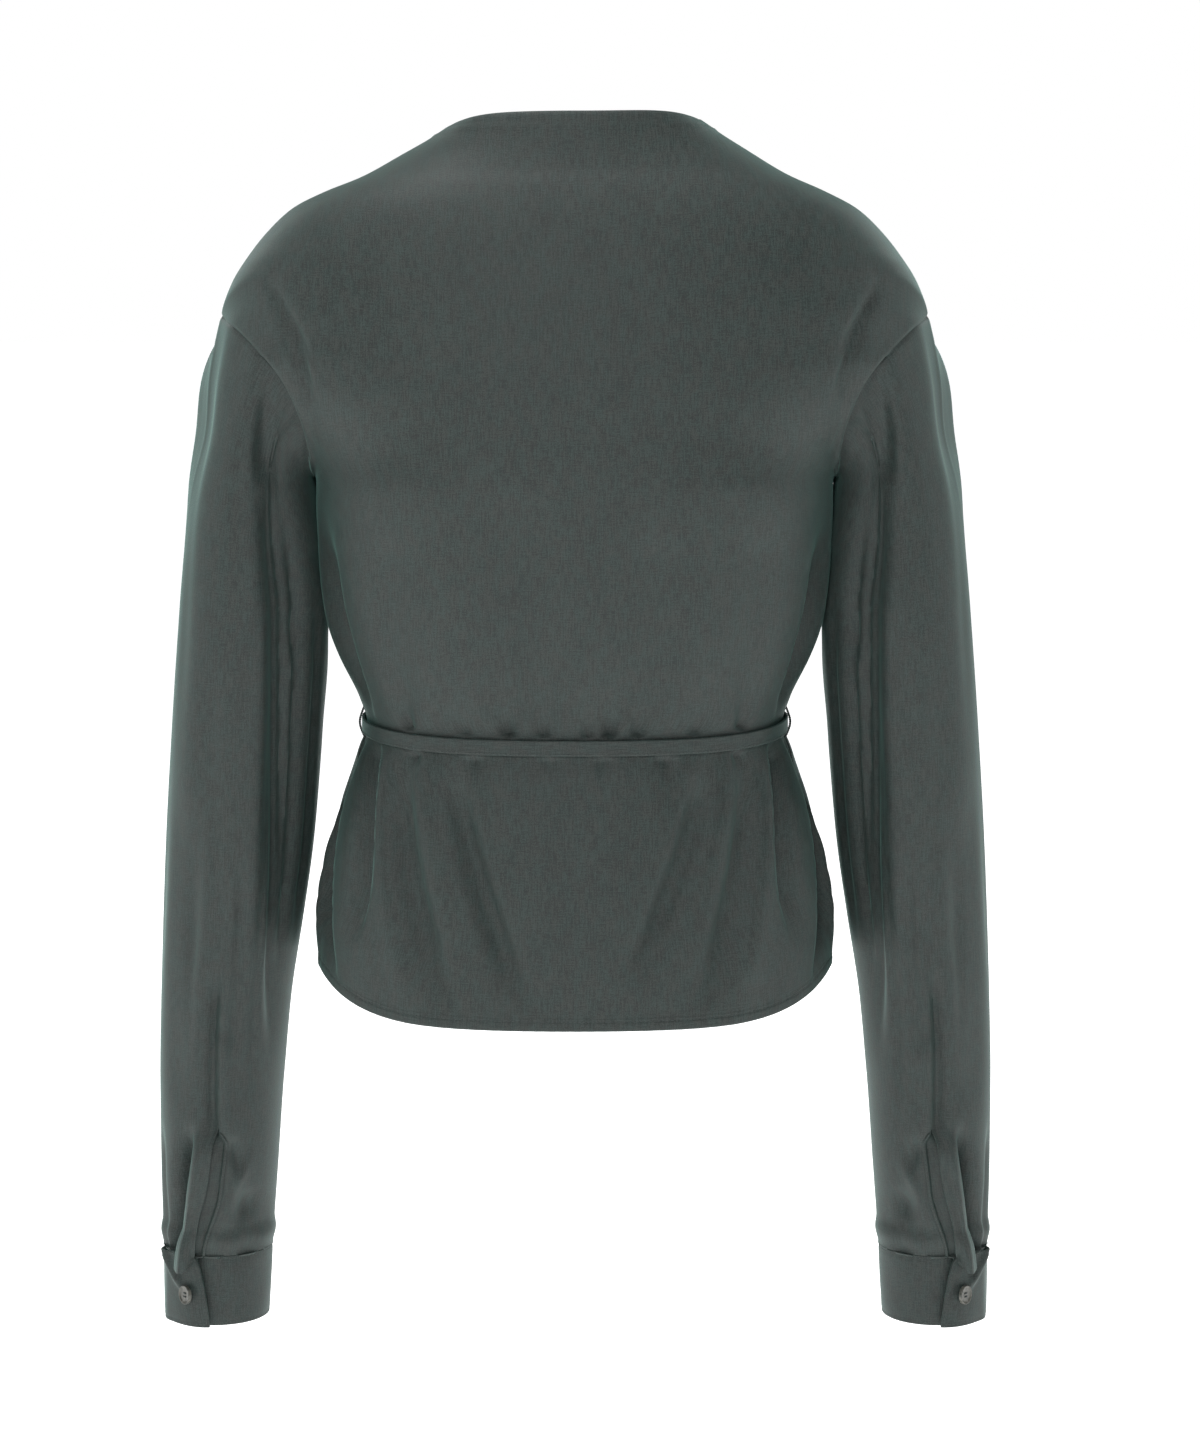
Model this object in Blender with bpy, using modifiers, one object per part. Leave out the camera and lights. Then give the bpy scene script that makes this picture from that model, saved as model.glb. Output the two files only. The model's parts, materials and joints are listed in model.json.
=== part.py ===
"""A cowl neck blouse, filled out as it is when worn, with nobody in it.

Units are metres, +Z is up and the front of the blouse faces -Y, so the wearer's left is +X.
The origin is in the middle of the neck opening, level with the points of the shoulders' neck.
Cloth is a wall of one thickness behind an outer surface. That surface comes from short tables:
a row for each level of the body and of the sleeve, and a row for each fold.
"""

import math

import bmesh
import bpy
import numpy as np
from mathutils import Vector

MM = 0.001

# Driving sizes
CLOTH = 1.0 * MM            # wall of the blouse's cloth
SEAM_GAP = 0.3 * MM         # between pieces that are sewn together
ARMHOLE_GAP = 1.0 * MM      # outside a seam where they meet at an angle, and so are closer inside
TIP_GAP = 0.25 * MM         # what the corners at the tip of the shoulder add on each side
CUFF_WALL = 1.8 * MM        # a cuff is two layers and an interlining
CUFF_TOP = -683 * MM
CUFF_BOTTOM = -726 * MM
CUFF_LAP = 40.0             # degrees of cuff that lie under its buttoned end
CUFF_LAP_RISE = 2.4 * MM    # how far the buttoned end stands out over them
CUFF_END_LIFT = 3.0 * MM    # how much further its free edge stands out
OPENING_TURN = 81.0         # degrees from the outer side, round the back, to the sleeve's opening
OPENING_LEAN = 12.0         # degrees further round at the opening's top
SLIT_LENGTH = 76 * MM
LEAN_ENDS = 260 * MM        # below the first row of the sleeve, where its columns hang plumb
SLIT_WIDTH = 1.6 * MM
PLACKET_WIDTH = 6 * MM
PLACKET_WALL = 1.0 * MM
BUTTON_RADIUS = 5.8 * MM
BUTTON_THICKNESS = 2.2 * MM
BUTTON_TURN = 64.0          # degrees from the outer side, on the buttoned end
BUTTON_LEVEL = -706 * MM
TIE_WIDTH = 9 * MM
TIE_WALL = 1.6 * MM
TIE_CLEARANCE = 1.6 * MM    # the tie's inner face stands this far off the waist
TIE_END_LENGTH = 148 * MM
KNOT_SIZE = (17 * MM, 7.5 * MM, 13 * MM)
CARRIER_RADIUS = 0.6 * MM   # the thread loops that hold the tie at the side seams
CARRIER_REACH = 9 * MM      # above and below the middle of the tie

# The body, from hem to neck, in millimetres. An edge is where a panel ends: the side seam up to
# the underarm, then the armhole, then the shoulder seam. A row leaves the middle level and
# straight across. turn and fall are the degrees that it has turned round and points down when
# it meets the edge, and reach is how far it holds that direction: 1.66 makes a round end.
BODY_COLUMNS = (
    "edge_x", "edge_back_y", "edge_front_y", "edge_z", "turn", "fall", "reach",
    "back_y", "back_z", "front_y", "front_z", "front_dip",
)
BODY_ROWS = (
    (155.0, 0, 0, -500, 90, 0, 1.95, 112, -524, 122, -524, 6.0),       # hem
    (154.5, 0, 0, -479, 90, 0, 1.95, 111, -498, 122, -498, 6.0),
    (150.0, 0, 0, -442, 90, 0, 1.95, 108, -455, 119, -456, 6.0),
    (142.5, 0, 0, -406, 90, 0, 1.95, 103, -413, 112, -414, 6.0),
    (132.0, 0, 0, -377, 90, 0, 1.95, 98, -380, 103, -381, 6.0),
    (124.5, 0, 0, -358, 90, 0, 1.95, 95, -361, 98, -361, 6.0),         # waist, under the tie
    (129.0, 0, 0, -341, 90, 0, 1.95, 97, -343, 102, -344, 6.0),
    (138.5, -1, -1, -315, 90, 0, 2.00, 101, -315, 112, -320, 5.0),
    (147.0, -3, -3, -282, 90, 0, 2.15, 104, -279, 124, -294, 4.0),
    (151.0, -5, -5, -248, 90, 0, 2.35, 106, -242, 131, -269, 3.4),
    (153.5, -5, -5, -215, 90, 0, 2.60, 107, -209, 132, -246, 3.0),     # underarm
    (154.5, 27, -36, -206, 76, 0, 2.30, 107, -194, 131, -236, 2.8),
    (158.0, 52, -58, -183, 52, 0, 2.05, 106, -177, 128, -226, 2.7),
    (165.0, 61, -66, -161, 38, 0, 1.95, 105, -160, 124, -216, 2.6),
    (176.0, 58, -63, -143, 36, 3, 1.95, 103, -144, 120, -207, 2.5),
    (190.0, 44, -50, -129, 44, 8, 1.95, 101, -129, 116, -199, 2.4),
    (203.0, 23, -29, -119, 59, 17, 1.95, 99, -114, 112, -191, 2.4),
    (210.0, -4, -4, -115, 78, 30, 1.95, 97, -100, 108, -183, 2.4),     # tip of the shoulder seam
    (204.5, -4, -4, -99, 79, 22, 1.95, 94, -87, 104, -174, 2.4),
    (194.5, -4, -4, -82, 80, 14, 1.95, 90, -74, 101, -166, 2.4),
    (182.0, -4, -4, -66, 83, 8, 1.95, 85, -61, 98, -159, 2.4),
    (167.0, -5, -5, -52, 86, 3, 1.95, 79, -48, 96, -152, 2.4),
    (148.0, -6, -6, -42, 90, 0, 1.95, 73, -37, 94, -146, 2.4),
    (125.5, -6, -6, -32.5, 90, 0, 1.95, 67, -27, 93, -140, 2.4),
    (102.0, -6, -6, -19, 90, 0, 1.95, 62, -16, 92, -135, 2.4),
    (86.0, -6, -6, -9.5, 90, 0, 1.95, 58, -5, 91, -130, 2.4),
    (75.0, -6, -6, -2, 90, 0, 1.95, 55, 5, 90, -125, 2.4),             # neck
)
WAIST_ROW = 5
TIE_BAND = 0.3              # the tie covers this share of the next rows
UNDERARM_ROW = 10
SHOULDER_TIP_ROW = 17
NECK_ROW = len(BODY_ROWS) - 1
MIDDLE_REACH = 1.95         # how far a row holds its direction at its middle: 1.66 is a circle
BACK_DIP = 6.0              # back rows stay level and bend only close to their edge
NECK_TILT = 4 * MM          # the back neck stands this much higher at the wearer's right

# Folds of the body, in millimetres: each is a trough that runs from its top to its foot. place
# is the share of the way from the middle of the panel to its edge, and half is 1 for the
# wearer's left, -1 for the right and 0 for both.
FOLD_COLUMNS = ("panel", "half", "place_top", "z_top", "place_low", "z_low", "depth", "width")
FOLDS = (
    ("back", 0, 0.81, -70, 0.985, -186, 5.0, 10),     # where the back folds over the arm
    ("back", 0, 0.80, -150, 0.805, -358, 7.0, 11),    # fullness that the tie draws in
    ("back", 0, 0.73, -366, 0.66, -486, 4.5, 10),
    ("back", 0, 0.875, -366, 0.87, -524, 8.5, 11),
    ("back", 0, 0.44, -366, 0.38, -480, 3.0, 14),
    ("back", 1, 0.29, -366, 0.22, -470, 2.6, 12),
    ("back", -1, 0.28, -366, 0.20, -470, 2.8, 12),
    ("both", 0, 1.00, -212, 1.00, -306, 5.0, 13),     # the sleeve presses the side seam in
    ("back", 0, 0.90, -205, 0.90, -340, -2.6, 8),     # and the back stands out beside it
    ("both", 0, 1.00, -366, 1.00, -520, 4.5, 10),     # the side seam, between two pleats
    ("front", 0, 0.84, -100, 0.93, -190, 4.0, 13),
    ("front", 0, 0.76, -226, 0.80, -356, 6.5, 13),
    ("front", 0, 0.50, -270, 0.55, -356, 4.0, 14),
    ("front", 0, 0.26, -296, 0.30, -356, 3.0, 12),
    ("front", 0, 0.82, -366, 0.87, -524, 8.0, 12),
    ("front", 0, 0.62, -366, 0.64, -500, 6.0, 13),
    ("front", 0, 0.40, -366, 0.43, -480, 4.5, 14),
    ("front", 1, 0.18, -366, 0.22, -470, 3.4, 13),
    ("front", -1, 0.17, -366, 0.18, -455, 3.6, 13),
)

# The cowl: ridges and troughs that hang from shoulder to shoulder, by their level at the middle
COWL_TOP = -125 * MM
COWL_SPACING = 39 * MM
COWL_DEPTH = 10 * MM
COWL_END = -236 * MM        # below this the front is smooth
COWL_SAG = 0.45             # a ridge hangs down by this share of how far it stands out
FACING_ROLL = 2.6 * MM      # half the space between the cowl's edge and its turned-in facing
FACING_DEPTH_ROWS = 3.2     # rows of the body that the facing reaches down

# The sleeve below the armhole, in millimetres, from the upper arm to the cuff
SLEEVE_ROWS = (
    (-290, 145.5, 237.0, -8, 57),
    (-333, 149.0, 240.5, -9, 56),
    (-380, 153.0, 244.0, -11, 54.5),
    (-430, 157.5, 247.5, -13, 52.5),
    (-480, 164.5, 250.2, -15, 50),
    (-530, 172.5, 252.2, -17, 47.5),
    (-580, 178.0, 253.3, -19, 45),
    (-630, 181.8, 253.4, -20, 42.5),
    (-664, 184.5, 253.0, -21, 40),
    (-682.7, 185.8, 252.7, -21, 37.5),
)
CUFF_INNER_TOP, CUFF_OUTER_TOP = 185.9 * MM, 252.5 * MM
CUFF_INNER_LOW, CUFF_OUTER_LOW = 188.2 * MM, 252.6 * MM
CUFF_MIDDLE_Y = -21 * MM
CUFF_HALF_DEPTH = 36 * MM

SLEEVE_TWIST = 6.0                   # degrees between the sleeve's columns and the armhole's
SLEEVE_HANG = 0.3                    # how much its own weight turns it down at the seam
UNDERARM_FROM = 0.24                 # how far round the armhole the underarm's turn begins
UNDERARM_LEAVE = (0.75, 0.0, -0.66)  # the way the sleeve's cloth leaves the underarm

# Folds of the sleeve, in millimetres: turn is in degrees from the outer side, round the back
SLEEVE_FOLD_COLUMNS = ("turn_top", "z_top", "turn_low", "z_low", "depth", "width")
SLEEVE_FOLDS = (
    (108, -200, 112, -540, 6.0, 13),
    (150, -270, 140, -470, 3.0, 13),
    (258, -200, 250, -480, 5.5, 15),
    (40, -380, 52, -610, 3.0, 14),
    (62, -620, 60, -690, 5.5, 8),      # the tuck beside the opening
    (130, -640, 128, -690, 2.2, 12),
    (262, -600, 268, -690, 3.0, 12),
    (310, -610, 312, -690, 3.0, 12),
)

# How finely the surfaces are divided
DENSE = 160                 # steps of a row before it is divided evenly
BODY_HALF_COLUMNS = 15
EDGE_STEP = 1.5 * MM        # the last column before a seam
SLEEVE_COLUMNS_ROUND = 24


def clear_scene():
    for thing in list(bpy.data.objects):
        bpy.data.objects.remove(thing, do_unlink=True)


def material(name, colour, roughness, metallic=0.0):
    made = bpy.data.materials.new(name)
    made.use_nodes = True
    shader = made.node_tree.nodes["Principled BSDF"]
    shader.inputs["Base Color"].default_value = (*colour, 1.0)
    shader.inputs["Roughness"].default_value = roughness
    shader.inputs["Metallic"].default_value = metallic
    return made


def smoothstep(value):
    value = np.clip(value, 0.0, 1.0)
    return value * value * (3.0 - 2.0 * value)


def unit(vectors):
    return vectors / np.maximum(np.linalg.norm(vectors, axis=-1, keepdims=True), 1e-12)


def between_rows(rows, place):
    """The rows of a table read at a place between them, on smooth curves through them all that
    rise or fall only where the table does."""
    table = np.array(rows, float)
    last = len(table) - 1
    k = min(int(min(max(place, 0.0), float(last))), last - 1)
    f = min(max(place, 0.0), float(last)) - k
    rises = np.diff(table, axis=0)
    here = rises[k]
    before = level_slope(rises[k - 1] if k > 0 else here, here)
    after = level_slope(here, rises[k + 1] if k + 1 < last else here)
    return (
        table[k]
        + here * (3 * f**2 - 2 * f**3)
        + before * (f**3 - 2 * f**2 + f)
        + after * (f**3 - f**2)
    )


def level_slope(one, other):
    """The slope between two rises: none where one rises and the other falls."""
    product, total = one * other, one + other
    return np.where(product > 0, 2 * product / np.where(product > 0, total, 1.0), 0.0)


def lengths_along(points):
    steps = np.linalg.norm(np.diff(points, axis=0), axis=1)
    return np.concatenate([[0.0], np.cumsum(steps)])


def even_steps(points, count, trim=0.0):
    """Evenly spaced points along a line, which ends short by trim. One more lies close to the
    end, so that the wall there stands square to the true surface."""
    along = lengths_along(points)
    wanted = np.linspace(0.0, along[-1] - trim, count + 1)
    wanted = np.insert(wanted, count, wanted[-1] - EDGE_STEP)
    return np.stack([np.interp(wanted, along, points[:, axis]) for axis in range(3)], axis=1)


# The body

def arrival(row, panel):
    """The direction in which a row meets its edge."""
    turn, fall = math.radians(row["turn"]), math.radians(row["fall"])
    round_to = -1.0 if panel == "back" else 1.0
    return np.array([
        math.cos(turn) * math.cos(fall), round_to * math.sin(turn) * math.cos(fall), -math.sin(fall),
    ])


def named_row(place):
    return dict(zip(BODY_COLUMNS, between_rows(BODY_ROWS, place)))


def base_row(place, panel):
    """A row of a panel from its middle to the wearer's left edge, with no folds: a curve from
    one point and direction to another, whose level changes mostly near its edge."""
    row = named_row(place)
    if panel == "back":
        edge_y, middle_y, middle_z, dip = row["edge_back_y"], row["back_y"], row["back_z"], BACK_DIP
    else:
        edge_y, middle_y, middle_z, dip = row["edge_front_y"], -row["front_y"], row["front_z"], row["front_dip"]
    s = np.linspace(0.0, 1.0, DENSE + 1)
    ends_at, leaves, arrives = 3 * s**2 - 2 * s**3, s**3 - 2 * s**2 + s, s**3 - s**2
    toward = arrival(row, panel) * row["reach"] * abs(middle_y - edge_y)
    x = row["edge_x"] * (ends_at + MIDDLE_REACH * leaves) + toward[0] * arrives
    y = middle_y + (edge_y - middle_y) * ends_at + toward[1] * arrives
    across = np.clip(x / row["edge_x"], 0.0, 1.0)
    z = row["edge_z"] + (middle_z - row["edge_z"]) * (1.0 - across**dip) + toward[2] * arrives
    return np.stack([x, y, z], axis=1) * MM


def row_normals(place, panel):
    """The outward direction at each point of base_row."""
    step = 0.02
    low, high = max(place - step, 0.0), min(place + step, float(NECK_ROW))
    points = base_row(place, panel)
    up = base_row(high, panel) - base_row(low, panel)
    along = np.gradient(points, axis=0)
    along[0] = (1.0, 0.0, 0.0)
    outward = np.cross(along, up) if panel == "front" else np.cross(up, along)
    return unit(outward)


def fold_depth(fold, half, share, z, length):
    """How deep one fold is at points of a row, in metres."""
    if fold["half"] and fold["half"] != half:
        return np.zeros_like(z)
    run = (z / MM - fold["z_top"]) / (fold["z_low"] - fold["z_top"])
    middle = fold["place_top"] + (fold["place_low"] - fold["place_top"]) * run
    off = (share - middle) * length / (fold["width"] * MM)
    fades = smoothstep(run / 0.2) * smoothstep((1.0 - run) / 0.35)
    return fold["depth"] * MM * fades * np.exp(-off * off)


def cowl_height(place, share):
    """How far the cowl's hanging folds stand out, in metres."""
    level = named_row(place)["front_z"] * MM
    fades = smoothstep((level - COWL_END) / (COWL_SPACING * 1.3))
    wave = math.cos(2 * math.pi * (COWL_TOP - level) / COWL_SPACING)
    return COWL_DEPTH * fades * (wave - 0.25) * (1.0 - share**1.6)


def folded_row(place, panel, half):
    """A row from the middle to the edge of one half, with its folds, and its normals."""
    points, outward = base_row(place, panel), row_normals(place, panel)
    along = lengths_along(points)
    share, length = along / along[-1], along[-1]
    depth = np.zeros(len(points))
    for values in FOLDS:
        fold = dict(zip(FOLD_COLUMNS, values))
        if fold["panel"] in (panel, "both"):
            depth = depth + fold_depth(fold, half, share, points[:, 2], length)
    moved = points - outward * depth[:, None]
    if panel == "front":
        height = cowl_height(place, share)
        moved = moved + outward * height[:, None]
        moved[:, 2] -= COWL_SAG * np.maximum(height, 0.0)
    near_neck = smoothstep((place - (NECK_ROW - 5)) / 5.0)
    moved[:, 2] -= half * NECK_TILT / 2 * near_neck * np.sin(math.pi / 2 * share) ** 2
    return moved * (half, 1, 1), outward * (half, 1, 1)


def whole_row(place, panel):
    """A row of a panel from the wearer's right edge to the left one."""
    corner = TIP_GAP * math.exp(-((place - SHOULDER_TIP_ROW) / 0.7) ** 2)
    trim = SEAM_GAP / 2 + corner
    left = even_steps(folded_row(place, panel, 1)[0], BODY_HALF_COLUMNS, trim)
    right = even_steps(folded_row(place, panel, -1)[0], BODY_HALF_COLUMNS, trim)
    return np.concatenate([right[:0:-1], left])


def grid_mesh(name, grid):
    """An open sheet through rows of points, each row as long as the next. Points that coincide
    are joined. It is cut into triangles here, so that both faces of its wall are cut alike."""
    rows, columns = len(grid), len(grid[0])
    shape = bmesh.new()
    points = [[shape.verts.new(point) for point in row] for row in np.asarray(grid, float)]
    for r in range(rows - 1):
        for c in range(columns - 1):
            shape.faces.new((points[r][c], points[r][c + 1], points[r + 1][c + 1], points[r + 1][c]))
    bmesh.ops.remove_doubles(shape, verts=shape.verts, dist=0.02 * MM)
    bmesh.ops.triangulate(shape, faces=shape.faces, quad_method="SHORT_EDGE")
    mesh = bpy.data.meshes.new(name)
    shape.to_mesh(mesh)
    shape.free()
    return mesh


def cloth_object(name, mesh, finish, wall, side=-1.0):
    """An object whose wall lies behind its sheet, or in front of it where side is 1."""
    thing = bpy.data.objects.new(name, mesh)
    bpy.data.collections["Blouse"].objects.link(thing)
    mesh.materials.append(finish)
    mesh.validate()
    mesh.shade_smooth()
    thick = thing.modifiers.new("Wall", "SOLIDIFY")
    thick.thickness = wall
    thick.offset = side
    return thing


def waist_and_skirt_places(skirt, bodice):
    """Places of the rows from the hem to the underarm. The cloth is level under the tie."""
    return np.concatenate([
        np.linspace(0, WAIST_ROW - TIE_BAND, skirt),
        [WAIST_ROW],
        np.linspace(WAIST_ROW + TIE_BAND, UNDERARM_ROW, bodice),
    ])


def make_back(finish):
    places = np.concatenate([
        waist_and_skirt_places(8, 7),
        armhole_places("back", SLEEVE_COLUMNS_ROUND // 2)[-2::-1],
        np.linspace(SHOULDER_TIP_ROW, NECK_ROW, 10)[1:],
    ])
    grid = [whole_row(place, "back")[::-1] for place in places]
    return cloth_object("back", grid_mesh("back", grid), finish, CLOTH)


def make_front(finish):
    places = np.concatenate([
        waist_and_skirt_places(8, 7),
        armhole_places("front", SLEEVE_COLUMNS_ROUND // 2)[-2::-1],
        np.linspace(SHOULDER_TIP_ROW, NECK_ROW, 10)[1:],
    ])
    grid = [whole_row(place, "front") for place in places]
    grid += facing_rows()
    return cloth_object("front", grid_mesh("front", grid), finish, CLOTH)


def facing_rows():
    """The cowl's edge rolled inwards, and the facing that hangs behind it."""
    edge = whole_row(NECK_ROW, "front")
    below = whole_row(NECK_ROW - 0.6, "front")
    up = unit(edge - below)
    along = np.gradient(edge, axis=0)
    outward = unit(np.cross(along, up))
    rows = []
    for degrees in (60, 120, 180):
        a = math.radians(degrees)
        rows.append(edge + FACING_ROLL * (math.sin(a) * up - (1 - math.cos(a)) * outward))
    for share in (0.33, 0.67, 1.0):
        place = NECK_ROW - share * FACING_DEPTH_ROWS
        rows.append(whole_row(place, "front") - 2 * FACING_ROLL * outward)
    return rows


# The sleeves

def armhole_places(panel, count):
    """Places of rows whose edges are evenly spaced along the armhole, from the tip of the
    shoulder to the underarm."""
    places = np.linspace(SHOULDER_TIP_ROW, UNDERARM_ROW, 60)
    edge = np.array([folded_row(place, panel, 1)[0][-1] for place in places])
    along = lengths_along(edge)
    return np.interp(np.linspace(0.0, along[-1], count + 1), along, places)


def armhole(count):
    """The armhole's loop, count points from the tip of the shoulder, down the back and up the
    front, with the way the sleeve's cloth leaves each point, which is square to the seam in the
    body's surface except at the underarm, and how much of the underarm's turn it has."""
    edge, way = [], []
    for panel in ("back", "front"):
        places = armhole_places(panel, count // 2)
        places = places[:-1] if panel == "back" else places[:0:-1]
        rows = [folded_row(place, panel, 1)[0] for place in places]
        edge += [row[-1] for row in rows]
        way += [unit(row[-1] - row[-3]) for row in rows]
    edge, way = np.array(edge), np.array(way)
    along = unit(np.roll(edge, -1, axis=0) - np.roll(edge, 1, axis=0))
    off_body = unit(way - along * np.sum(way * along, axis=1, keepdims=True))
    under = smoothstep((np.arange(count + 1) / count - UNDERARM_FROM) / (0.5 - UNDERARM_FROM))
    under = np.minimum(under, under[::-1])[:-1, None]
    off_body = unit(off_body + np.array([0.0, 0.0, -SLEEVE_HANG]))
    leave = unit(off_body * (1 - under) + np.array(UNDERARM_LEAVE) * under)
    return edge, leave, under


def sleeve_turns(count):
    """The angles of a sleeve's columns from its outer side, round the back. The last column
    lies on the first one, and both lie on the sleeve's opening."""
    return math.radians(OPENING_TURN) + np.linspace(0.0, 2 * math.pi, count + 1)


def opening_lean(z):
    """How far the sleeve's columns lean round at a level, in radians, so that the opening runs
    aslant from its top down to the cuff."""
    rises = min(max((z - CUFF_TOP) / SLIT_LENGTH, 0.0), 1.0)
    ends = float(smoothstep((SLEEVE_ROWS[0][0] * MM - z) / LEAN_ENDS))
    return math.radians(OPENING_LEAN) * rises * ends


def sleeve_ring(place, turns):
    """A level of the sleeve with no folds."""
    z, inner_x, outer_x, middle_y, half_depth = between_rows(SLEEVE_ROWS, place) * MM
    turns = turns + opening_lean(z)
    middle_x, half_width = (inner_x + outer_x) / 2, (outer_x - inner_x) / 2
    return np.stack([
        middle_x + half_width * np.cos(turns),
        middle_y + half_depth * np.sin(turns),
        np.full_like(turns, z),
    ], axis=1)


def sleeve_fold_depth(points, turns):
    depth = np.zeros(len(points))
    for values in SLEEVE_FOLDS:
        fold = dict(zip(SLEEVE_FOLD_COLUMNS, values))
        run = (points[:, 2] / MM - fold["z_top"]) / (fold["z_low"] - fold["z_top"])
        middle = np.radians(fold["turn_top"] + (fold["turn_low"] - fold["turn_top"]) * run)
        away = (turns - middle + math.pi) % (2 * math.pi) - math.pi
        off = away * 45 * MM / (fold["width"] * MM)
        fades = smoothstep(run / 0.25) * smoothstep((1.0 - run) / 0.2)
        depth += fold["depth"] * MM * fades * np.exp(-off * off)
    return depth


def sleeve_grid(count, cap_shares, places, slit_row):
    """Rows of the wearer's left sleeve, from the armhole to the cuff."""
    turns = sleeve_turns(count)
    columns = (np.arange(count + 1) + round((OPENING_TURN - SLEEVE_TWIST) * count / 360)) % count
    edge, leave, under = (values[columns] for values in armhole(count))
    start = edge + leave * ARMHOLE_GAP
    first, second = sleeve_ring(0, turns), sleeve_ring(0.3, turns)
    reach = np.linalg.norm(first - start, axis=1, keepdims=True)
    leave = leave * reach * (0.9 - 0.75 * under)
    arrive = unit(second - first) * reach * 0.9
    rows = [
        (2 * h**3 - 3 * h**2 + 1) * start + (h**3 - 2 * h**2 + h) * leave
        + (3 * h**2 - 2 * h**3) * first + (h**3 - h**2) * arrive
        for h in cap_shares
    ]
    rows += [sleeve_ring(place, turns) for place in places]
    grid = np.array(rows)
    along = np.gradient(grid, axis=1)
    along[:, 0] = along[:, -1] = grid[:, 1] - grid[:, -2]
    outward = unit(np.cross(np.gradient(grid, axis=0), along))
    for r in range(1, len(grid)):
        leaning = turns + opening_lean(grid[r, 0, 2]) * (r >= len(cap_shares))
        grid[r] -= outward[r] * sleeve_fold_depth(grid[r], leaning)[:, None]
    return open_the_slit(grid, len(cap_shares) + slit_row), outward, turns


def open_the_slit(grid, slit_row):
    """Parts the sleeve's first and last columns from the row at the slit's top to the cuff."""
    top, bottom = grid[slit_row, 0, 2], grid[-1, 0, 2]
    sideways = unit(grid[:, 1] - grid[:, -2])
    width = SLIT_WIDTH * np.clip((top - grid[:, 0, 2]) / (top - bottom), 0.0, 1.0) ** 0.5
    grid[:, 0] += sideways * width[:, None] / 2
    grid[:, -1] -= sideways * width[:, None] / 2
    return grid


def slit_place():
    """The row of the sleeve's table where the opening ends."""
    levels = np.array([row[0] for row in SLEEVE_ROWS], float) * MM
    return float(np.interp(-(levels[-1] + SLIT_LENGTH), -levels, np.arange(len(levels))))


def sleeve_rows_cad():
    top = slit_place()
    last = len(SLEEVE_ROWS) - 1
    cap = (0.0, 0.12, 0.27, 0.44, 0.63, 0.82)
    places = np.concatenate([np.linspace(0, top, 8), np.linspace(top, last, 6)[1:]])
    return sleeve_grid(SLEEVE_COLUMNS_ROUND, cap, places, slit_row=7)


def mirrored(grid, half):
    """A grid of the wearer's left for its own side, with its faces still pointing out."""
    grid = np.asarray(grid) * (half, 1, 1)
    return grid if half > 0 else grid[:, ::-1]


def make_sleeve(half, side_name, finish):
    grid = mirrored(sleeve_rows_cad()[0], half)
    mesh = grid_mesh(f"sleeve_{side_name}", grid[::-1])
    return cloth_object(f"sleeve_{side_name}", mesh, finish, CLOTH)


def make_placket(half, side_name, finish):
    """A binding strip beside the opening, made from the sleeve's own points, moved out."""
    grid, outward, turns = sleeve_rows_cad()
    rows = [r for r in range(len(grid)) if grid[r, 0, 2] < grid[-1, 0, 2] + SLIT_LENGTH - 4 * MM]
    strip = []
    for r in rows:
        away = unit(grid[r, 1] - grid[r, 0])
        line = [grid[r, 0] + away * PLACKET_WIDTH * share for share in (0.06, 0.5, 1.0)]
        strip.append(np.array(line) + outward[r, :1] * (SEAM_GAP + 0.25 * MM))
    grid = mirrored(np.array(strip), half)
    mesh = grid_mesh(f"placket_{side_name}", grid[::-1])
    return cloth_object(f"placket_{side_name}", mesh, finish, PLACKET_WALL, side=1.0)


# The cuffs

def cuff_point(turn, share):
    """A point of the cuff's outer face. turn is in degrees and runs past 360 on the end that
    is buttoned over the start, and share runs from 0 at the seam to 1 at the lower edge."""
    inner = CUFF_INNER_TOP + (CUFF_INNER_LOW - CUFF_INNER_TOP) * share
    outer = CUFF_OUTER_TOP + (CUFF_OUTER_LOW - CUFF_OUTER_TOP) * share
    lapped_from = 360 + OPENING_TURN - CUFF_LAP
    rise = CUFF_LAP_RISE * float(smoothstep((turn - (lapped_from - 30)) / 24))
    rise += CUFF_END_LIFT * float(smoothstep((turn - lapped_from) / CUFF_LAP))
    a = math.radians(turn)
    return np.array([
        (inner + outer) / 2 + ((outer - inner) / 2 + rise) * math.cos(a),
        CUFF_MIDDLE_Y + (CUFF_HALF_DEPTH + rise) * math.sin(a),
        CUFF_TOP + (CUFF_BOTTOM - CUFF_TOP) * share,
    ])


def cuff_normal(turn):
    step = cuff_point(turn + 1, 0.5) - cuff_point(turn - 1, 0.5)
    return unit(np.array([step[1], -step[0], 0.0]))


def make_cuff(half, side_name, finish):
    turns = np.linspace(OPENING_TURN - CUFF_LAP, OPENING_TURN + 360, 42)
    grid = np.array([[cuff_point(turn, share) for turn in turns] for share in (0.0, 0.33, 0.67, 1.0)])
    mesh = grid_mesh(f"cuff_{side_name}", mirrored(grid, half)[::-1])
    return cloth_object(f"cuff_{side_name}", mesh, finish, CUFF_WALL)


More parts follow.
